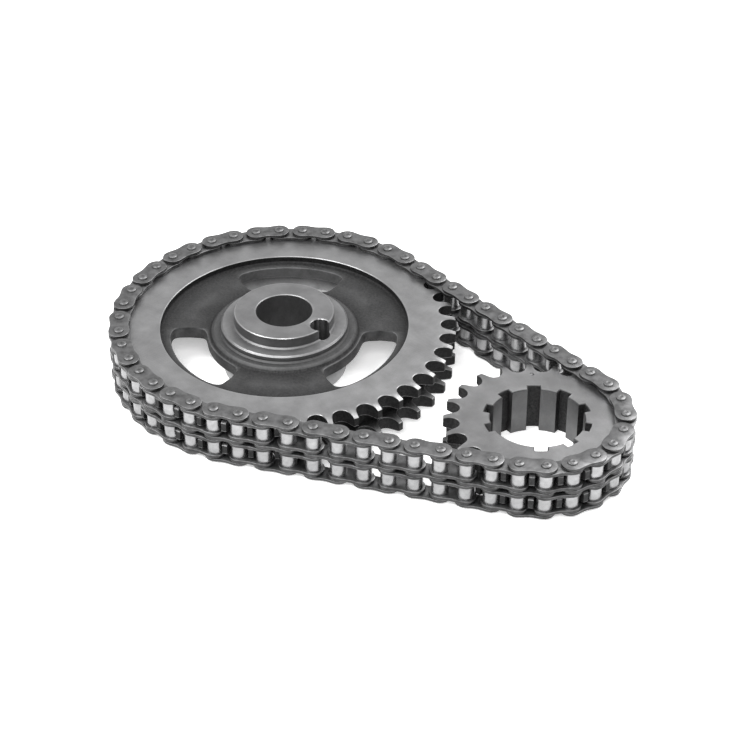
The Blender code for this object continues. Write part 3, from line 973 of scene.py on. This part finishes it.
    def dress(self, name: str, shell: Shell, index: int, body: str, nodes: list[str]) -> bpy.types.Object:
        """Put a piece of a link in its place, with its finish and its body.

        Args:
            name: Name of the piece.
            shell: Its surface, in the link's own drawing.
            index: The link's number.
            body: The CAD body that carries it.
            nodes: The CAD nodes that it stands for.

        Returns:
            The piece.
        """
        kind = next(kind for kind in self.metals if kind in name)
        steel, material = self.metals[kind]
        turn, place = self.loop.link_place(index)
        placed = shell.moved(turn, place, self.loop.middle)
        return make_piece(name, placed, material, steel.slot, body, nodes)

    def build(self) -> list[bpy.types.Object]:
        """Build every link.

        Returns:
            The pieces made.
        """
        made = []
        bodies = {node: body for body, nodes in self.loop.frame["record"]["behaviour"]["bodies"].items()
                  for node in nodes}
        for index in range(len(self.loop.pins)):
            outer = index % 2 == 0
            opened = self.loop.stretch_of(index) == (Stretch.BACK, 0)
            pieces = self.outer_pieces() if outer else self.inner_pieces(opened)
            if index in (self.detailed, self.detailed + 1):
                made += [self.dress(f"bench_{node}", shell, index, bodies[node], [node])
                         for node, shell in pieces.items()]
                continue
            label = f"{'outer' if outer else 'inner'}_link_{index + 1:02d}"
            nodes = self.nodes_of(index)
            for kind in ("plate", "pin") if outer else ("plate", "bushing", "roller"):
                group = joined([shell for piece, shell in pieces.items() if kind in piece])
                made.append(self.dress(f"{label}_{kind}s", group, index, bodies[nodes[0]], nodes))
        return made


# ------------------------------------------------------------------ sprockets


@dataclass(frozen=True)
class Teeth:
    """Two rows of sprocket teeth.

    Attributes:
        sizes: The chain's sizes.
        count: Number of teeth in a row.
        first: Angle of the first seat.
        seat_gap: Room between a roller and its seat.
        side_gap: Room between a tooth's side and the inner plates.
        tip_half: Half of the width of a tooth's tip.
        tip_drop: How far a tooth's sides fall away by its tip.
        taper_start: Where they start to, in roller radii inside the pitch circle.
        broken: Size of the teeth's broken edges.
        smooth: Depth below a side from which a seat's wall is rough and painted dark as shade.
        core_gap: Room between the link plates and the core.
        seat_swing: Half of a seat's arc.
        bulge: How far along its tangent a flank's curve is pulled, as a share of the flank.
        seat_steps: Points along a seat.
        flank_steps: Points along a flank.
    """

    sizes: ChainSizes
    count: int
    first: float
    seat_gap: float = 0.10 * MM
    side_gap: float = 0.20 * MM
    tip_half: float = 0.95 * MM
    tip_drop: float = 0.75 * MM
    taper_start: float = 0.3
    broken: float = 0.12 * MM
    smooth: float = 0.35 * MM
    core_gap: float = 0.5 * MM
    seat_swing: float = math.radians(58)
    bulge: float = 0.42
    seat_steps: int = 9
    flank_steps: int = 6

    @property
    def around(self) -> int:
        """Points all the way round."""
        return self.count * (self.seat_steps + 2 * self.flank_steps)

    @property
    def pitch_radius(self) -> float:
        """Radius of the circle through the roller centres."""
        return self.sizes.pitch / 2 / math.sin(math.pi / self.count)

    @property
    def tip_radius(self) -> float:
        """Outside radius: half of pitch * (0.6 + cot(180 deg / teeth))."""
        return self.sizes.pitch * (0.6 + 1 / math.tan(math.pi / self.count)) / 2

    @property
    def core_radius(self) -> float:
        """Radius between the rows, clear of the link plates."""
        chord = self.pitch_radius * math.cos(math.pi / self.count)
        return chord - self.sizes.plate_half_height - self.core_gap

    @property
    def half_width(self) -> float:
        """Half of a row's width."""
        return self.sizes.inner_width / 2 - self.side_gap

    @property
    def rim_rise(self) -> float:
        """Height of the rim's face above the middle."""
        return self.sizes.row_pitch / 2 + self.half_width

    @property
    def angles(self) -> Array:
        """Even angles, one for each point, starting half a tooth before the first seat's middle."""
        return self.first + (np.arange(self.around) - (self.seat_steps - 1) / 2) * FULL_TURN / self.around

    def outline(self) -> Array:
        """Outline of the teeth.

        Formula: each seat is an arc round the roller's centre, and each flank a quadratic curve that
        leaves the arc along its tangent and ends at the corner of the flat tip, turned to its tooth.

        Returns:
            Points, anticlockwise.
        """
        radius = self.sizes.roller_radius + self.seat_gap
        swing = np.linspace(self.seat_swing, -self.seat_swing, self.seat_steps)
        seat = np.stack([self.pitch_radius - radius * np.cos(swing), -radius * np.sin(swing)], axis=1)
        leave = seat[-1]
        along = np.array([math.sin(self.seat_swing), math.cos(self.seat_swing)])
        half_step = math.pi / self.count
        tip_angle = half_step - self.tip_half / self.tip_radius
        tip = self.tip_radius * np.array([math.cos(tip_angle), math.sin(tip_angle)])
        bend = leave + along * self.bulge * np.linalg.norm(tip - leave)
        share = np.linspace(0.0, 1.0, self.flank_steps + 1)[1:, None]
        flank = leave * (1 - share) ** 2 + bend * 2 * share * (1 - share) + tip * share ** 2
        rising = flank[::-1] * [1.0, -1.0]
        tooth = np.concatenate([seat, flank, self.spun(rising, 2 * half_step)])
        turns = self.first + np.arange(self.count) * 2 * half_step
        return self.spun(tooth[None], turns[:, None]).reshape(-1, 2)

    @staticmethod
    def spun(points: Array, turn: Array | float) -> Array:
        """Turn points about the origin.

        Args:
            points: The points.
            turn: The angle or angles.

        Returns:
            The turned points.
        """
        cosine, sine = np.cos(turn), np.sin(turn)
        x, y = points[..., 0], points[..., 1]
        return np.stack([x * cosine - y * sine, x * sine + y * cosine], axis=-1)

    def ring(self, radius: Array | float, height: Array | float) -> Array:
        """Ring of points at a radius and a height.

        Args:
            radius: One radius, or one for each point.
            height: One height, or one for each point.

        Returns:
            The points.
        """
        heights = height * np.ones(self.around)
        return np.stack([radius * np.cos(self.angles), radius * np.sin(self.angles), heights], axis=1)

    def face(self, base: float, level: float, side: int, outwards: bool, raw: float = 0.0) -> list[Ring]:
        """Rings over one side of a row of teeth, from a base circle out to the outline and just round it.

        Formula: a ring is base + share * (outline - base), and its height falls off towards the tips
        by tip_drop * ((radius - start) / (tip - start)) squared.

        Args:
            base: Radius of the circle that the teeth stand on.
            level: Height of the side.
            side: 1 if the side faces up, -1 if it faces down.
            outwards: Whether the rings run from the base to the outline.
            raw: How far the side is left rough and painted dark as shade.

        Returns:
            Rings with their edge brightening, painted highlight included, and their rawness, painted shade
            included.
        """
        outline, circle = self.outline(), self.ring(base, 0.0)[:, :2]
        start = self.pitch_radius - self.taper_start * self.sizes.roller_radius
        rings = []
        # Columns: share, round-off, edge brightening and rawness. The brightening towards the outline is
        # partly a painted highlight, and the rough wall below each side is painted shade on the teeth's
        # flanks.
        ladder = ((0.0, 0.0, 0.0, raw), (0.45, 0.0, 0.0, raw), (0.75, 0.0, 0.1, raw),
                  (0.95, 0.0, 0.25, raw), (1.0, self.broken, 0.4, 0.4), (1.0, self.smooth, 0.0, 1.0))
        for share, round_off, wear, rawness_and_shade in ladder:
            flat = circle + share * (outline - circle)
            reach = np.clip((np.hypot(*flat.T) - start) / (self.tip_radius - start), 0.0, 1.0)
            drop = self.tip_drop * reach ** 2 + round_off
            rings.append((np.column_stack([flat, level - side * drop]), wear, rawness_and_shade))
        return rings if outwards else rings[::-1]

    def rows(self, base: float) -> list[Ring]:
        """Rings from the rim's upper face, down over both rows, to its lower face.

        Args:
            base: Radius where the rim's faces become teeth.

        Returns:
            Rings with their edge brightening, painted highlight included, and their rawness, painted shade
            included.
        """
        middle, half = self.sizes.row_pitch / 2, self.half_width
        rings = self.face(base, middle + half, 1, True)
        # The faces between the rows are fully rough: painted shade, as they lie in shadow under the chain.
        rings += self.face(self.core_radius, middle - half, -1, False, 1.0)
        rings += self.face(self.core_radius, half - middle, 1, True, 1.0)
        rings += self.face(base, -middle - half, -1, False)
        return rings


def skin_of(rings: list[Ring]) -> Shell:
    """Skin a list of rings that ends where it starts.

    Args:
        rings: Points, edge brightening with painted highlight, and rawness with painted shade of each ring.

    Returns:
        The skin.
    """
    points, wear, raw = zip(*rings)
    around = len(points[0])
    shades = [np.stack([np.broadcast_to(shade, around) for shade in shades]) for shades in (wear, raw)]
    return woven(np.stack(points), *shades)


@dataclass
class CamSprocket:
    """The large sprocket: a toothed rim, a recessed web with three windows, and a stepped hub.

    Radii are from the shaft and rises from the chain's middle.

    Attributes:
        teeth: Its teeth.
        shaft: Where its shaft stands.
        middle: Height of the chain's middle.
        bore: Radius of the bore.
        hub: Radius of the hub.
        hub_rise: Rise of the hub's face.
        collar: Radius of the collar round the hub.
        collar_rise: Rise of the collar's face.
        boss: Radius of the boss that the collar stands on.
        boss_step: Height of the boss above the web.
        recess: Radius of the recess.
        recess_depth: Depth of the recess below the rim.
        web: Thickness of the web.
        rear_hub: Radius of the rear hub.
        broken: Size of the turned edges.
        hub_edge: Size of the hub's sharpest edges.
        rim_edge: Size of the edge between the rim and the recess.
        window_inner: Inner radius of the windows.
        window_outer: Outer radius of the windows.
        window_half: Half of the angle that a window spans.
        window_first: Angle of the first window's middle.
        window_edge: Radius of the windows' rounded edges.
        window_power: How square the windows' ends are; 2 would make them round.
        windows: How many windows there are.
        rim_inset: From the pitch circle in to where the rim's face turns into teeth, in roller radii.
        dowel: Radius of the dowel notch.
        dowel_edge: Size of its broken edge.
        dowel_circle: Radius at which it is centred.
        dowel_angle: Angle at which it lies.
    """

    teeth: Teeth
    shaft: tuple[float, float]
    middle: float
    bore: float = 10.9 * MM
    hub: float = 19.3 * MM
    hub_rise: float = 13.9 * MM
    collar: float = 24.5 * MM
    collar_rise: float = 9.2 * MM
    boss: float = 28.2 * MM
    boss_step: float = 1.5 * MM
    recess: float = 48.0 * MM
    recess_depth: float = 3.0 * MM
    web: float = 4.8 * MM
    rear_hub: float = 24.0 * MM
    broken: float = 0.6 * MM
    hub_edge: float = 0.25 * MM
    rim_edge: float = 0.2 * MM
    window_inner: float = 30.0 * MM
    window_outer: float = 44.2 * MM
    window_half: float = math.radians(30.5)
    window_first: float = math.radians(1.0)
    window_edge: float = 0.5 * MM
    window_power: int = 8
    windows: int = 3
    rim_inset: float = 2.2
    dowel: float = 3.8 * MM
    dowel_edge: float = 0.3 * MM
    dowel_circle: float = 17.1 * MM
    dowel_angle: float = math.radians(-2.0)

    @property
    def web_top(self) -> float:
        """Height of the web's upper face above the middle."""
        return self.teeth.rim_rise - self.recess_depth

    @property
    def web_low(self) -> float:
        """Height of the web's lower face above the middle."""
        return self.web_top - self.web

    @property
    def window_middle(self) -> float:
        """Radius of the windows' middle line, on which the hub's skin meets the rim's."""
        return (self.window_inner + self.window_outer) / 2

    def window_radii(self) -> tuple[Array, Array, Array]:
        """Inner and outer radius of the windows at each angle, and the size of their rounded edge.

        Formula: with t the angle from a window's middle over its half angle, half the window's width is
        w * (1 - t^power)^(1/4), a rounded rectangle bent round the shaft, and none past its ends.

        Returns:
            Inner radii, outer radii and edge sizes.
        """
        period = FULL_TURN / self.windows
        swing = (self.teeth.angles - self.window_first + period / 2) % period - period / 2
        share = np.clip(np.abs(swing) / self.window_half, 0.0, 1.0)
        opened = (1 - share ** self.window_power) ** 0.25
        middle, half = self.window_middle, (self.window_outer - self.window_inner) / 2
        edge = self.window_edge * np.minimum(1.0, 3 * opened)
        return middle - half * opened, middle + half * opened, edge

    def circle(self, radius: Array | float, height: Array | float, wear: float, raw: float) -> Ring:
        """Ring round the shaft, with its edge brightening, painted highlight included, and its rawness,
        painted shade included.
        """
        return self.teeth.ring(radius, height), wear, raw

    def hub_rings(self, inner: Array, edge: Array) -> list[Ring]:
        """Rings of the hub and of the web inside the windows, outwards on top and back underneath.

        Args:
            inner: Inner radius of the windows at each angle.
            edge: Size of their rounded edge.

        Returns:
            The rings.
        """
        broken, fine = self.broken, self.hub_edge
        top, collar_top, rear = self.hub_rise, self.collar_rise, -self.middle
        boss_top, web_top, web_low = self.web_top + self.boss_step, self.web_top, self.web_low
        # Columns: radius, height, edge brightening and rawness. The edge brightening is partly a painted
        # highlight; the rawness darkens the bore, hub, collar, boss, web and window walls, partly as cast
        # skin and partly as painted shade.
        steps = [
            (self.bore, top - 2 * fine, 0.0, 0.7), (self.bore, top - fine, 0.1, 0.6),
            (self.bore + fine, top, 0.3, 0.2), (self.bore + broken, top, 0.0, 0.3),
            (self.hub - broken, top, 0.0, 0.3), (self.hub - fine, top, 0.3, 0.0),
            (self.hub, top - fine, 0.3, 0.0), (self.hub, top - broken, 0.0, 0.35),
            (self.hub, collar_top + broken, 0.0, 0.5), (self.hub + broken, collar_top, 0.0, 0.4),
            (self.collar - broken, collar_top, 0.1, 0.3), (self.collar, collar_top - broken, 0.2, 0.4),
            (self.collar, boss_top + broken, 0.0, 0.8), (self.collar + broken, boss_top, 0.0, 0.8),
            (self.boss - 1.6 * broken, boss_top, 0.0, 0.8), (self.boss, boss_top - broken, 0.1, 1.0),
            (self.boss + 0.4 * broken, web_top + broken, 0.0, 1.0),
            (self.boss + 1.4 * broken, web_top, 0.0, 1.0),
            (inner - edge, web_top, 0.1, 1.0), (inner - 0.3 * edge, web_top - 0.3 * edge, 0.3, 1.0),
            (inner, web_top - edge, 0.2, 1.0), (inner, web_low + edge, 0.2, 1.0),
            (inner - edge, web_low, 0.1, 1.0), (self.rear_hub + 1.5 * broken, web_low, 0.0, 1.0),
            (self.rear_hub, web_low - 1.5 * broken, 0.0, 1.0), (self.rear_hub, rear + broken, 0.5, 0.0),
            (self.rear_hub - broken, rear, 0.6, 0.0), (self.bore + fine, rear, 0.3, 0.0),
            (self.bore, rear + fine, 0.1, 0.6), (self.bore, rear + 2 * fine, 0.0, 0.7)]
        return [self.circle(*step) for step in steps]

    def rim_rings(self, outer: Array, edge: Array) -> list[Ring]:
        """Rings of the rim and of the web outside the windows, outwards on top and back underneath.

        Args:
            outer: Outer radius of the windows at each angle.
            edge: Size of their rounded edge.

        Returns:
            The rings.
        """
        broken, fine, rise = self.broken, self.rim_edge, self.teeth.rim_rise
        web_top, web_low, recess = self.web_top, self.web_low, self.recess
        # Columns: radius, height, edge brightening and rawness. The recess wall and web are fully rough,
        # partly cast skin and partly painted shade in the recess; the rim's edge brightening is partly a
        # painted highlight.
        upper = [
            (outer, web_low + edge, 0.2, 1.0), (outer, web_top - edge, 0.2, 1.0),
            (outer + 0.3 * edge, web_top - 0.3 * edge, 0.3, 1.0), (outer + edge, web_top, 0.1, 1.0),
            (recess - 1.5 * broken, web_top, 0.0, 1.0),
            (recess - 0.5 * broken, web_top + 0.4 * broken, 0.0, 1.0),
            (recess, web_top + 1.2 * broken, 0.0, 1.0), (recess, rise - 2 * fine, 0.0, 1.0),
            (recess, rise - fine, 0.1, 0.5), (recess + fine, rise, 0.4, 0.0),
            (recess + broken, rise, 0.0, 0.0)]
        lower = [
            (recess + 2 * broken, -rise, 0.0, 0.0), (recess + broken, -rise, 0.6, 0.0),
            (recess, broken - rise, 0.4, 0.4), (recess, web_low - 1.5 * broken, 0.0, 1.0),
            (recess - 1.5 * broken, web_low, 0.0, 1.0), (outer + edge, web_low, 0.1, 1.0)]
        base = self.teeth.pitch_radius - self.rim_inset * self.teeth.sizes.roller_radius
        rings = [self.circle(*step) for step in upper] + self.teeth.rows(base)
        return rings + [self.circle(*step) for step in lower]

    def build(self) -> list[bpy.types.Object]:
        """Build the sprocket: two skins that meet between the windows, with the notch for the dowel.

        Returns:
            Its one piece.
        """
        inner, outer, edge = self.window_radii()
        edge = np.where(outer > inner, edge, 0.0)
        skin = joined([skin_of(self.hub_rings(inner, edge)), skin_of(self.rim_rings(outer, edge))])
        on_seam = np.abs(np.hypot(*skin.points[:, :2].T) - self.window_middle) < 2 * WELD
        skin = skin.kept(~on_seam[skin.quads].all(axis=1)).moved(0.0, self.shaft, self.middle)
        metal = SprocketMetal("cam_sprocket_iron", "cast_iron", self.shaft, (0.18, 0.31), (0.016, 0.042),
                              0.40)
        piece = make_piece("cam_sprocket_turned", skin, metal.material(), metal.slot, "cam_group",
                           ["cam_sprocket"])
        top = self.middle + self.hub_rise
        notch = drill(self.dowel, self.dowel_edge, top)
        drill_hole(piece, notch.moved(along=place_round(self.shaft, self.dowel_circle, self.dowel_angle)))
        return [piece]


@dataclass
class CrankSprocket:
    """The small sprocket: a flat face, two rows of teeth, a rear hub and a bore with nine keyways.

    Attributes:
        teeth: Its teeth.
        shaft: Where its shaft stands.
        middle: Height of the chain's middle.
        bore: Radius of the bore.
        keyways: How many keyways there are.
        key_places: How many even places there are for them; those after the last keyway are blank.
        key_half: Half of a keyway's width.
        key_depth: Depth of a keyway.
        key_first: Angle of the first keyway.
        rear_hub: Radius of the rear hub.
        broken: Size of the rear hub's broken edges.
        bore_edge: Size of the bore's broken edge.
        dot_circle: Radius at which the timing dot is centred.
        dot_angle: Angle at which it lies.
        dot: Radius of the timing dot.
        dot_wall: Depth of its upright wall.
        dot_depth: Depth of its point.
        rim_inset: From the pitch circle in to where the face turns into teeth, in roller radii.
    """

    teeth: Teeth
    shaft: tuple[float, float]
    middle: float
    bore: float = 17.4 * MM
    keyways: int = 9
    key_places: int = 10
    key_half: float = 2.38 * MM
    key_depth: float = 2.4 * MM
    key_first: float = math.radians(-56.8)
    rear_hub: float = 24.5 * MM
    broken: float = 0.5 * MM
    bore_edge: float = 0.3 * MM
    dot_circle: float = 27.0 * MM
    dot_angle: float = math.radians(123.8)
    dot: float = 0.9 * MM
    dot_wall: float = 0.3 * MM
    dot_depth: float = 0.9 * MM
    rim_inset: float = 2.0

    def key_swings(self) -> tuple[Array, Array]:
        """Share the points round the bore out among the keyways' places.

        Returns:
            Whether each point's place has a keyway, and the point's angle from the middle of its place.
        """
        period = FULL_TURN / self.key_places
        place = (self.teeth.angles - self.key_first + period / 2) / period
        return np.floor(place).astype(int) % self.key_places < self.keyways, (place % 1.0 - 0.5) * period

    def bore_rawness_and_shade(self) -> Array:
        """Rawness round the bore: keyways are left rough and painted dark as shade, the lands between them
        are nearly smooth.
        """
        cut, swing = self.key_swings()
        return np.where(cut & (np.abs(swing) < self.key_half / self.bore), 1.0, 0.45)

    def keyed_ring(self, grow: float, height: float) -> Array:
        """Ring of points round the keyed bore.

        Formula: the radius is the bore's, and in a keyway it is the keyway's outer radius.  At each
        keyway's sides two points share the side's angle, asin(half width / radius), one on each radius.

        Args:
            grow: How far the bore and the keyways are opened out.
            height: Height of the ring.

        Returns:
            The points.
        """
        around = self.teeth.around
        angles = self.teeth.angles
        cut, swing = self.key_swings()
        low, high = self.bore + grow, self.bore + self.key_depth + grow
        half = self.key_half + grow
        corner_low, corner_high = math.asin(half / low), math.asin(half / high)
        step = FULL_TURN / around
        inside = cut & (np.abs(swing) < corner_low - step / 2)
        radius = np.where(inside, high, low)
        at_side = cut & (np.abs(np.abs(swing) - corner_low) <= step / 2)
        snapped = np.where(at_side, np.sign(swing) * corner_low, swing)
        last_inside = inside & (np.abs(swing) >= corner_low - 1.5 * step)
        snapped = np.where(last_inside, np.sign(swing) * corner_high, snapped)
        theta = angles - swing + snapped
        return np.stack([radius * np.cos(theta), radius * np.sin(theta), np.full(around, height)], axis=1)

    def build(self) -> list[bpy.types.Object]:
        """Build the sprocket as one skin, with its timing dot.

        Returns:
            Its one piece.
        """
        broken, fine, rise, rear = self.broken, self.bore_edge, self.teeth.rim_rise, -self.middle
        base = self.teeth.pitch_radius - self.rim_inset * self.teeth.sizes.roller_radius
        past_keys = self.bore + self.key_depth + 2 * broken
        ring, keyed, walls = self.teeth.ring, self.keyed_ring, self.bore_rawness_and_shade()
        # Columns: points, edge brightening and rawness. The bore's rawness paints shade in the keyways, and a
        # painted dark band runs round the top of the bore; the edge brightening is partly a painted
        # highlight.
        rings = [
            (keyed(0.0, rear + fine), 0.0, walls), (keyed(0.0, rise - 1.5 * fine), 0.0, walls),
            (keyed(0.0, rise - fine), 0.0, 1.0), (keyed(fine, rise), 0.1, 0.6),
            (keyed(1.4 * fine, rise), 0.1, 0.0), (ring(past_keys, rise), 0.0, 0.0),
            (ring(self.rear_hub - broken, rise), 0.0, 0.0),
            *self.teeth.rows(base),
            (ring(self.rear_hub + broken, -rise), 0.0, 0.0), (ring(self.rear_hub, -rise - broken), 0.0, 0.0),
            (ring(self.rear_hub, rear + broken), 0.5, 0.0), (ring(self.rear_hub - broken, rear), 0.6, 0.0),
            (ring(past_keys, rear), 0.0, 0.0), (keyed(fine, rear), 0.3, 0.0)]
        metal = SprocketMetal("crank_sprocket_steel", "billet_steel", self.shaft, (0.14, 0.23), (0.02, 0.055),
                              0.33, 0.35 * MM)
        skin = skin_of(rings).moved(0.0, self.shaft, self.middle)
        piece = make_piece("crank_sprocket_turned", skin, metal.material(), metal.slot, "crank_group",
                           ["crank_sprocket"])
        top = self.middle + rise
        dimple = turned([(0.0, top + DRILL_CLEAR, 0.0), (self.dot, top + DRILL_CLEAR, 0.0),
                         (self.dot, top - self.dot_wall, 0.0), (0.0, top - self.dot_depth, 0.0)],
                        DOT_STEPS)
        drill_hole(piece, dimple.moved(along=place_round(self.shaft, self.dot_circle, self.dot_angle)))
        return [piece]


# ------------------------------------------------------------------ pieces


def place_round(shaft: tuple[float, float], radius: float, angle: float) -> tuple[float, float]:
    """Place at a radius and an angle from a shaft."""
    return shaft[0] + radius * math.cos(angle), shaft[1] + radius * math.sin(angle)


def make_piece(name: str, shell: Shell, material: bpy.types.Material, slot: str, body: str,
               nodes: list[str]) -> bpy.types.Object:
    """Make a finished piece that rides on a CAD body and stands for CAD nodes.

    Args:
        name: Name of the piece.
        shell: Its surface, in place.
        material: Its finish.
        slot: The record's slot that the finish belongs to; not used.
        body: The CAD body that carries it.
        nodes: The CAD nodes that it stands for.

    Returns:
        The piece.
    """
    mesh = mesh_of(name, shell)
    mesh.materials.append(material)
    piece = bpy.data.objects.new(name, mesh)
    bpy.context.scene.collection.objects.link(piece)
    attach(piece, body)
    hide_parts(*nodes)
    return piece


def drill(radius: float, broken: float, top: float) -> Shell:
    """Drill with a countersink, standing on the Z axis and reaching well below the part.

    Args:
        radius: Radius of the hole.
        broken: Size of its broken edge.
        top: Height of the face that it enters.

    Returns:
        The drill's surface.
    """
    clear, mouth = DRILL_CLEAR, radius + broken + DRILL_CLEAR
    return turned([(0.0, top + clear, 0.0), (mouth, top + clear, 0.0), (radius, top - broken, 0.0),
                   (radius, -clear, 0.0), (0.0, -clear, 0.0)], DRILL_STEPS)


def drill_hole(piece: bpy.types.Object, cutter_shell: Shell) -> None:
    """Cut a hole in a piece and keep the result as its mesh.

    Args:
        piece: The piece.
        cutter_shell: What is cut away.
    """
    cutter = bpy.data.objects.new("cutter", mesh_of("cutter", cutter_shell))
    bpy.context.scene.collection.objects.link(cutter)
    cut = piece.modifiers.new("hole", "BOOLEAN")
    cut.operation = "DIFFERENCE"
    cut.solver = "EXACT"
    cut.object = cutter
    bpy.context.view_layer.update()
    graph = bpy.context.evaluated_depsgraph_get()
    mesh = bpy.data.meshes.new_from_object(piece.evaluated_get(graph), depsgraph=graph)
    piece.modifiers.clear()
    old, piece.data = piece.data, mesh
    bpy.data.meshes.remove(old)
    mesh.name = piece.name
    mesh.set_sharp_from_angle(angle=SHARP_ANGLE)
    bpy.data.objects.remove(cutter)


# ------------------------------------------------------------------ studio


@dataclass
class Studio:
    """Pale floor, soft light and the camera.

    Attributes:
        aim: Point that the camera looks at.
        azimuth: Direction that the camera looks from; 0 looks along +Y.
        elevation: Height of the camera above the horizon, as an angle.
        distance: Distance from the camera to the aim.
        lens: Focal length in millimetres, on a 36 mm sensor.
        lamp_distance: Distance from the lamps to the aim.
        floor_half: Half of the floor's side.
        floor_grey: Grey of the floor.
        floor_glow: How far the floor glows to background rays, which keeps it pale far from the lamps.
        sky_light: Strength of the sky to the rays that carry its light to the part.
        lamps: Name, direction in degrees, angle above the horizon in degrees, side and power in watts.
    """

    aim: tuple[float, float, float]
    azimuth: float = math.radians(32.77)
    elevation: float = math.radians(35.71)
    distance: float = 0.8179
    lens: float = 103.2
    lamp_distance: float = 0.9
    floor_half: float = 3.0
    floor_grey: float = 0.93
    floor_glow: float = 0.40
    sky_light: float = 0.55
    lamps: tuple[tuple[str, float, float, float, float], ...] = (
        ("key_softbox", -40.0, 55.0, 0.5, 9.0),
        ("rear_softbox", 160.0, 50.0, 0.6, 7.0),
        ("front_fill", 33.0, 48.0, 0.35, 4.0))

    def away(self, azimuth: float, elevation: float, distance: float) -> Array:
        """Point at a direction and distance from the aim.

        Args:
            azimuth: Direction round the Z axis.
            elevation: Angle above the horizon.
            distance: How far.

        Returns:
            The point.
        """
        level = math.cos(elevation)
        return np.array(self.aim) + distance * np.array(
            [math.sin(azimuth) * level, -math.cos(azimuth) * level, math.sin(elevation)])

    def point(self, thing: bpy.types.Object, place: Array) -> None:
        """Place a lamp or camera and turn it to the aim.

        Args:
            thing: The lamp or camera.
            place: Where it stands.
        """
        thing.location = place
        ahead = Vector(self.aim) - thing.location
        thing.rotation_mode = "QUATERNION"
        thing.rotation_quaternion = ahead.to_track_quat("-Z", "Y")
        bpy.context.scene.collection.objects.link(thing)

    def lamp(self, name: str, azimuth: float, elevation: float, size: float, power: float) -> None:
        """Add a square soft lamp.

        Args:
            name: Name of the lamp.
            azimuth: Direction that it shines from, in degrees.
            elevation: Its angle above the horizon, in degrees.
            size: Length of its side.
            power: Its power in watts.
        """
        light = bpy.data.lights.new(name, "AREA")
        light.size = size
        light.energy = power
        place = self.away(math.radians(azimuth), math.radians(elevation), self.lamp_distance)
        self.point(bpy.data.objects.new(name, light), place)

    def background_rays(self, tree: bpy.types.NodeTree) -> bpy.types.NodeSocket:
        """Tell the rays that should find a white background from those that carry light to the part.

        Args:
            tree: The node sheet that asks.

        Returns:
            1 for camera, glossy and transmission rays, and 0 for the rest.
        """
        rays = tree.nodes.new("ShaderNodeLightPath").outputs
        seen = rays["Is Camera Ray"]
        for kind in ("Is Glossy Ray", "Is Transmission Ray"):
            either = tree.nodes.new("ShaderNodeMath")
            either.operation = "MAXIMUM"
            tree.links.new(seen, either.inputs[0])
            tree.links.new(rays[kind], either.inputs[1])
            seen = either.outputs[0]
        return seen

    def floor(self) -> None:
        """Lay the floor under the part."""
        mesh = bpy.data.meshes.new("studio_floor")
        half = self.floor_half
        corners = [(-half, -half, 0.0), (half, -half, 0.0), (half, half, 0.0), (-half, half, 0.0)]
        mesh.from_pydata(corners, [], [(0, 1, 2, 3)])
        material = bpy.data.materials.new("pale_floor")
        material.use_nodes = True
        shader = material.node_tree.nodes["Principled BSDF"]
        shader.inputs["Base Color"].default_value = (self.floor_grey,) * 3 + (1.0,)
        shader.inputs["Roughness"].default_value = 0.9
        shader.inputs["Emission Color"].default_value = (1.0, 1.0, 1.0, 1.0)
        glow = material.node_tree.nodes.new("ShaderNodeMath")
        glow.operation = "MULTIPLY"
        glow.inputs[1].default_value = self.floor_glow
        material.node_tree.links.new(self.background_rays(material.node_tree), glow.inputs[0])
        material.node_tree.links.new(glow.outputs[0], shader.inputs["Emission Strength"])
        mesh.materials.append(material)
        plane = bpy.data.objects.new("studio_floor", mesh)
        bpy.context.scene.collection.objects.link(plane)

    def sky(self) -> None:
        """White to the camera and in reflections, softer as light."""
        world = bpy.data.worlds.new("studio_sky")
        world.use_nodes = True
        bpy.context.scene.world = world
        tree = world.node_tree
        strength = tree.nodes.new("ShaderNodeMapRange")
        strength.inputs["To Min"].default_value = self.sky_light
        strength.inputs["To Max"].default_value = 1.0
        tree.links.new(self.background_rays(tree), strength.inputs["Value"])
        tree.links.new(strength.outputs[0], tree.nodes["Background"].inputs["Strength"])
        tree.nodes["Background"].inputs["Color"].default_value = (1.0, 1.0, 1.0, 1.0)

    def build(self) -> None:
        """Set up the whole studio."""
        camera = bpy.data.cameras.new("camera")
        camera.lens = self.lens
        camera.sensor_width = 36.0
        eye = bpy.data.objects.new("camera", camera)
        self.point(eye, self.away(self.azimuth, self.elevation, self.distance))
        bpy.context.scene.camera = eye
        for lamp in self.lamps:
            self.lamp(*lamp)
        self.floor()
        self.sky()
        bpy.context.scene.view_settings.view_transform = "Standard"


def main() -> None:
    """Build and report the sprockets, the chain and the studio."""
    logging.basicConfig(level=logging.INFO, format="%(name)s: %(message)s")
    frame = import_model()
    for thing in [thing for thing in bpy.data.objects if thing.name in ("Cube", "Light", "Camera")]:
        bpy.data.objects.remove(thing)
    sizes = ChainSizes()
    loop = Loop(frame, sizes)
    cam_first = loop.bearing(loop.cam, 0)
    crank_first = loop.bearing(loop.crank, loop.cam_links + loop.strand_links)
    makers = (CamSprocket(Teeth(sizes, loop.cam_teeth, cam_first), loop.cam, loop.middle),
              CrankSprocket(Teeth(sizes, loop.crank_teeth, crank_first), loop.crank, loop.middle),
              Chain(loop, sizes))
    for maker in makers:
        for piece in maker.build():
            log.info("%s: %d faces", piece.name, len(piece.data.polygons))
    Studio((loop.cam[0] + AIM_FROM_CAM[0], loop.cam[1] + AIM_FROM_CAM[1], loop.middle)).build()


if __name__ == "__main__":
    main()
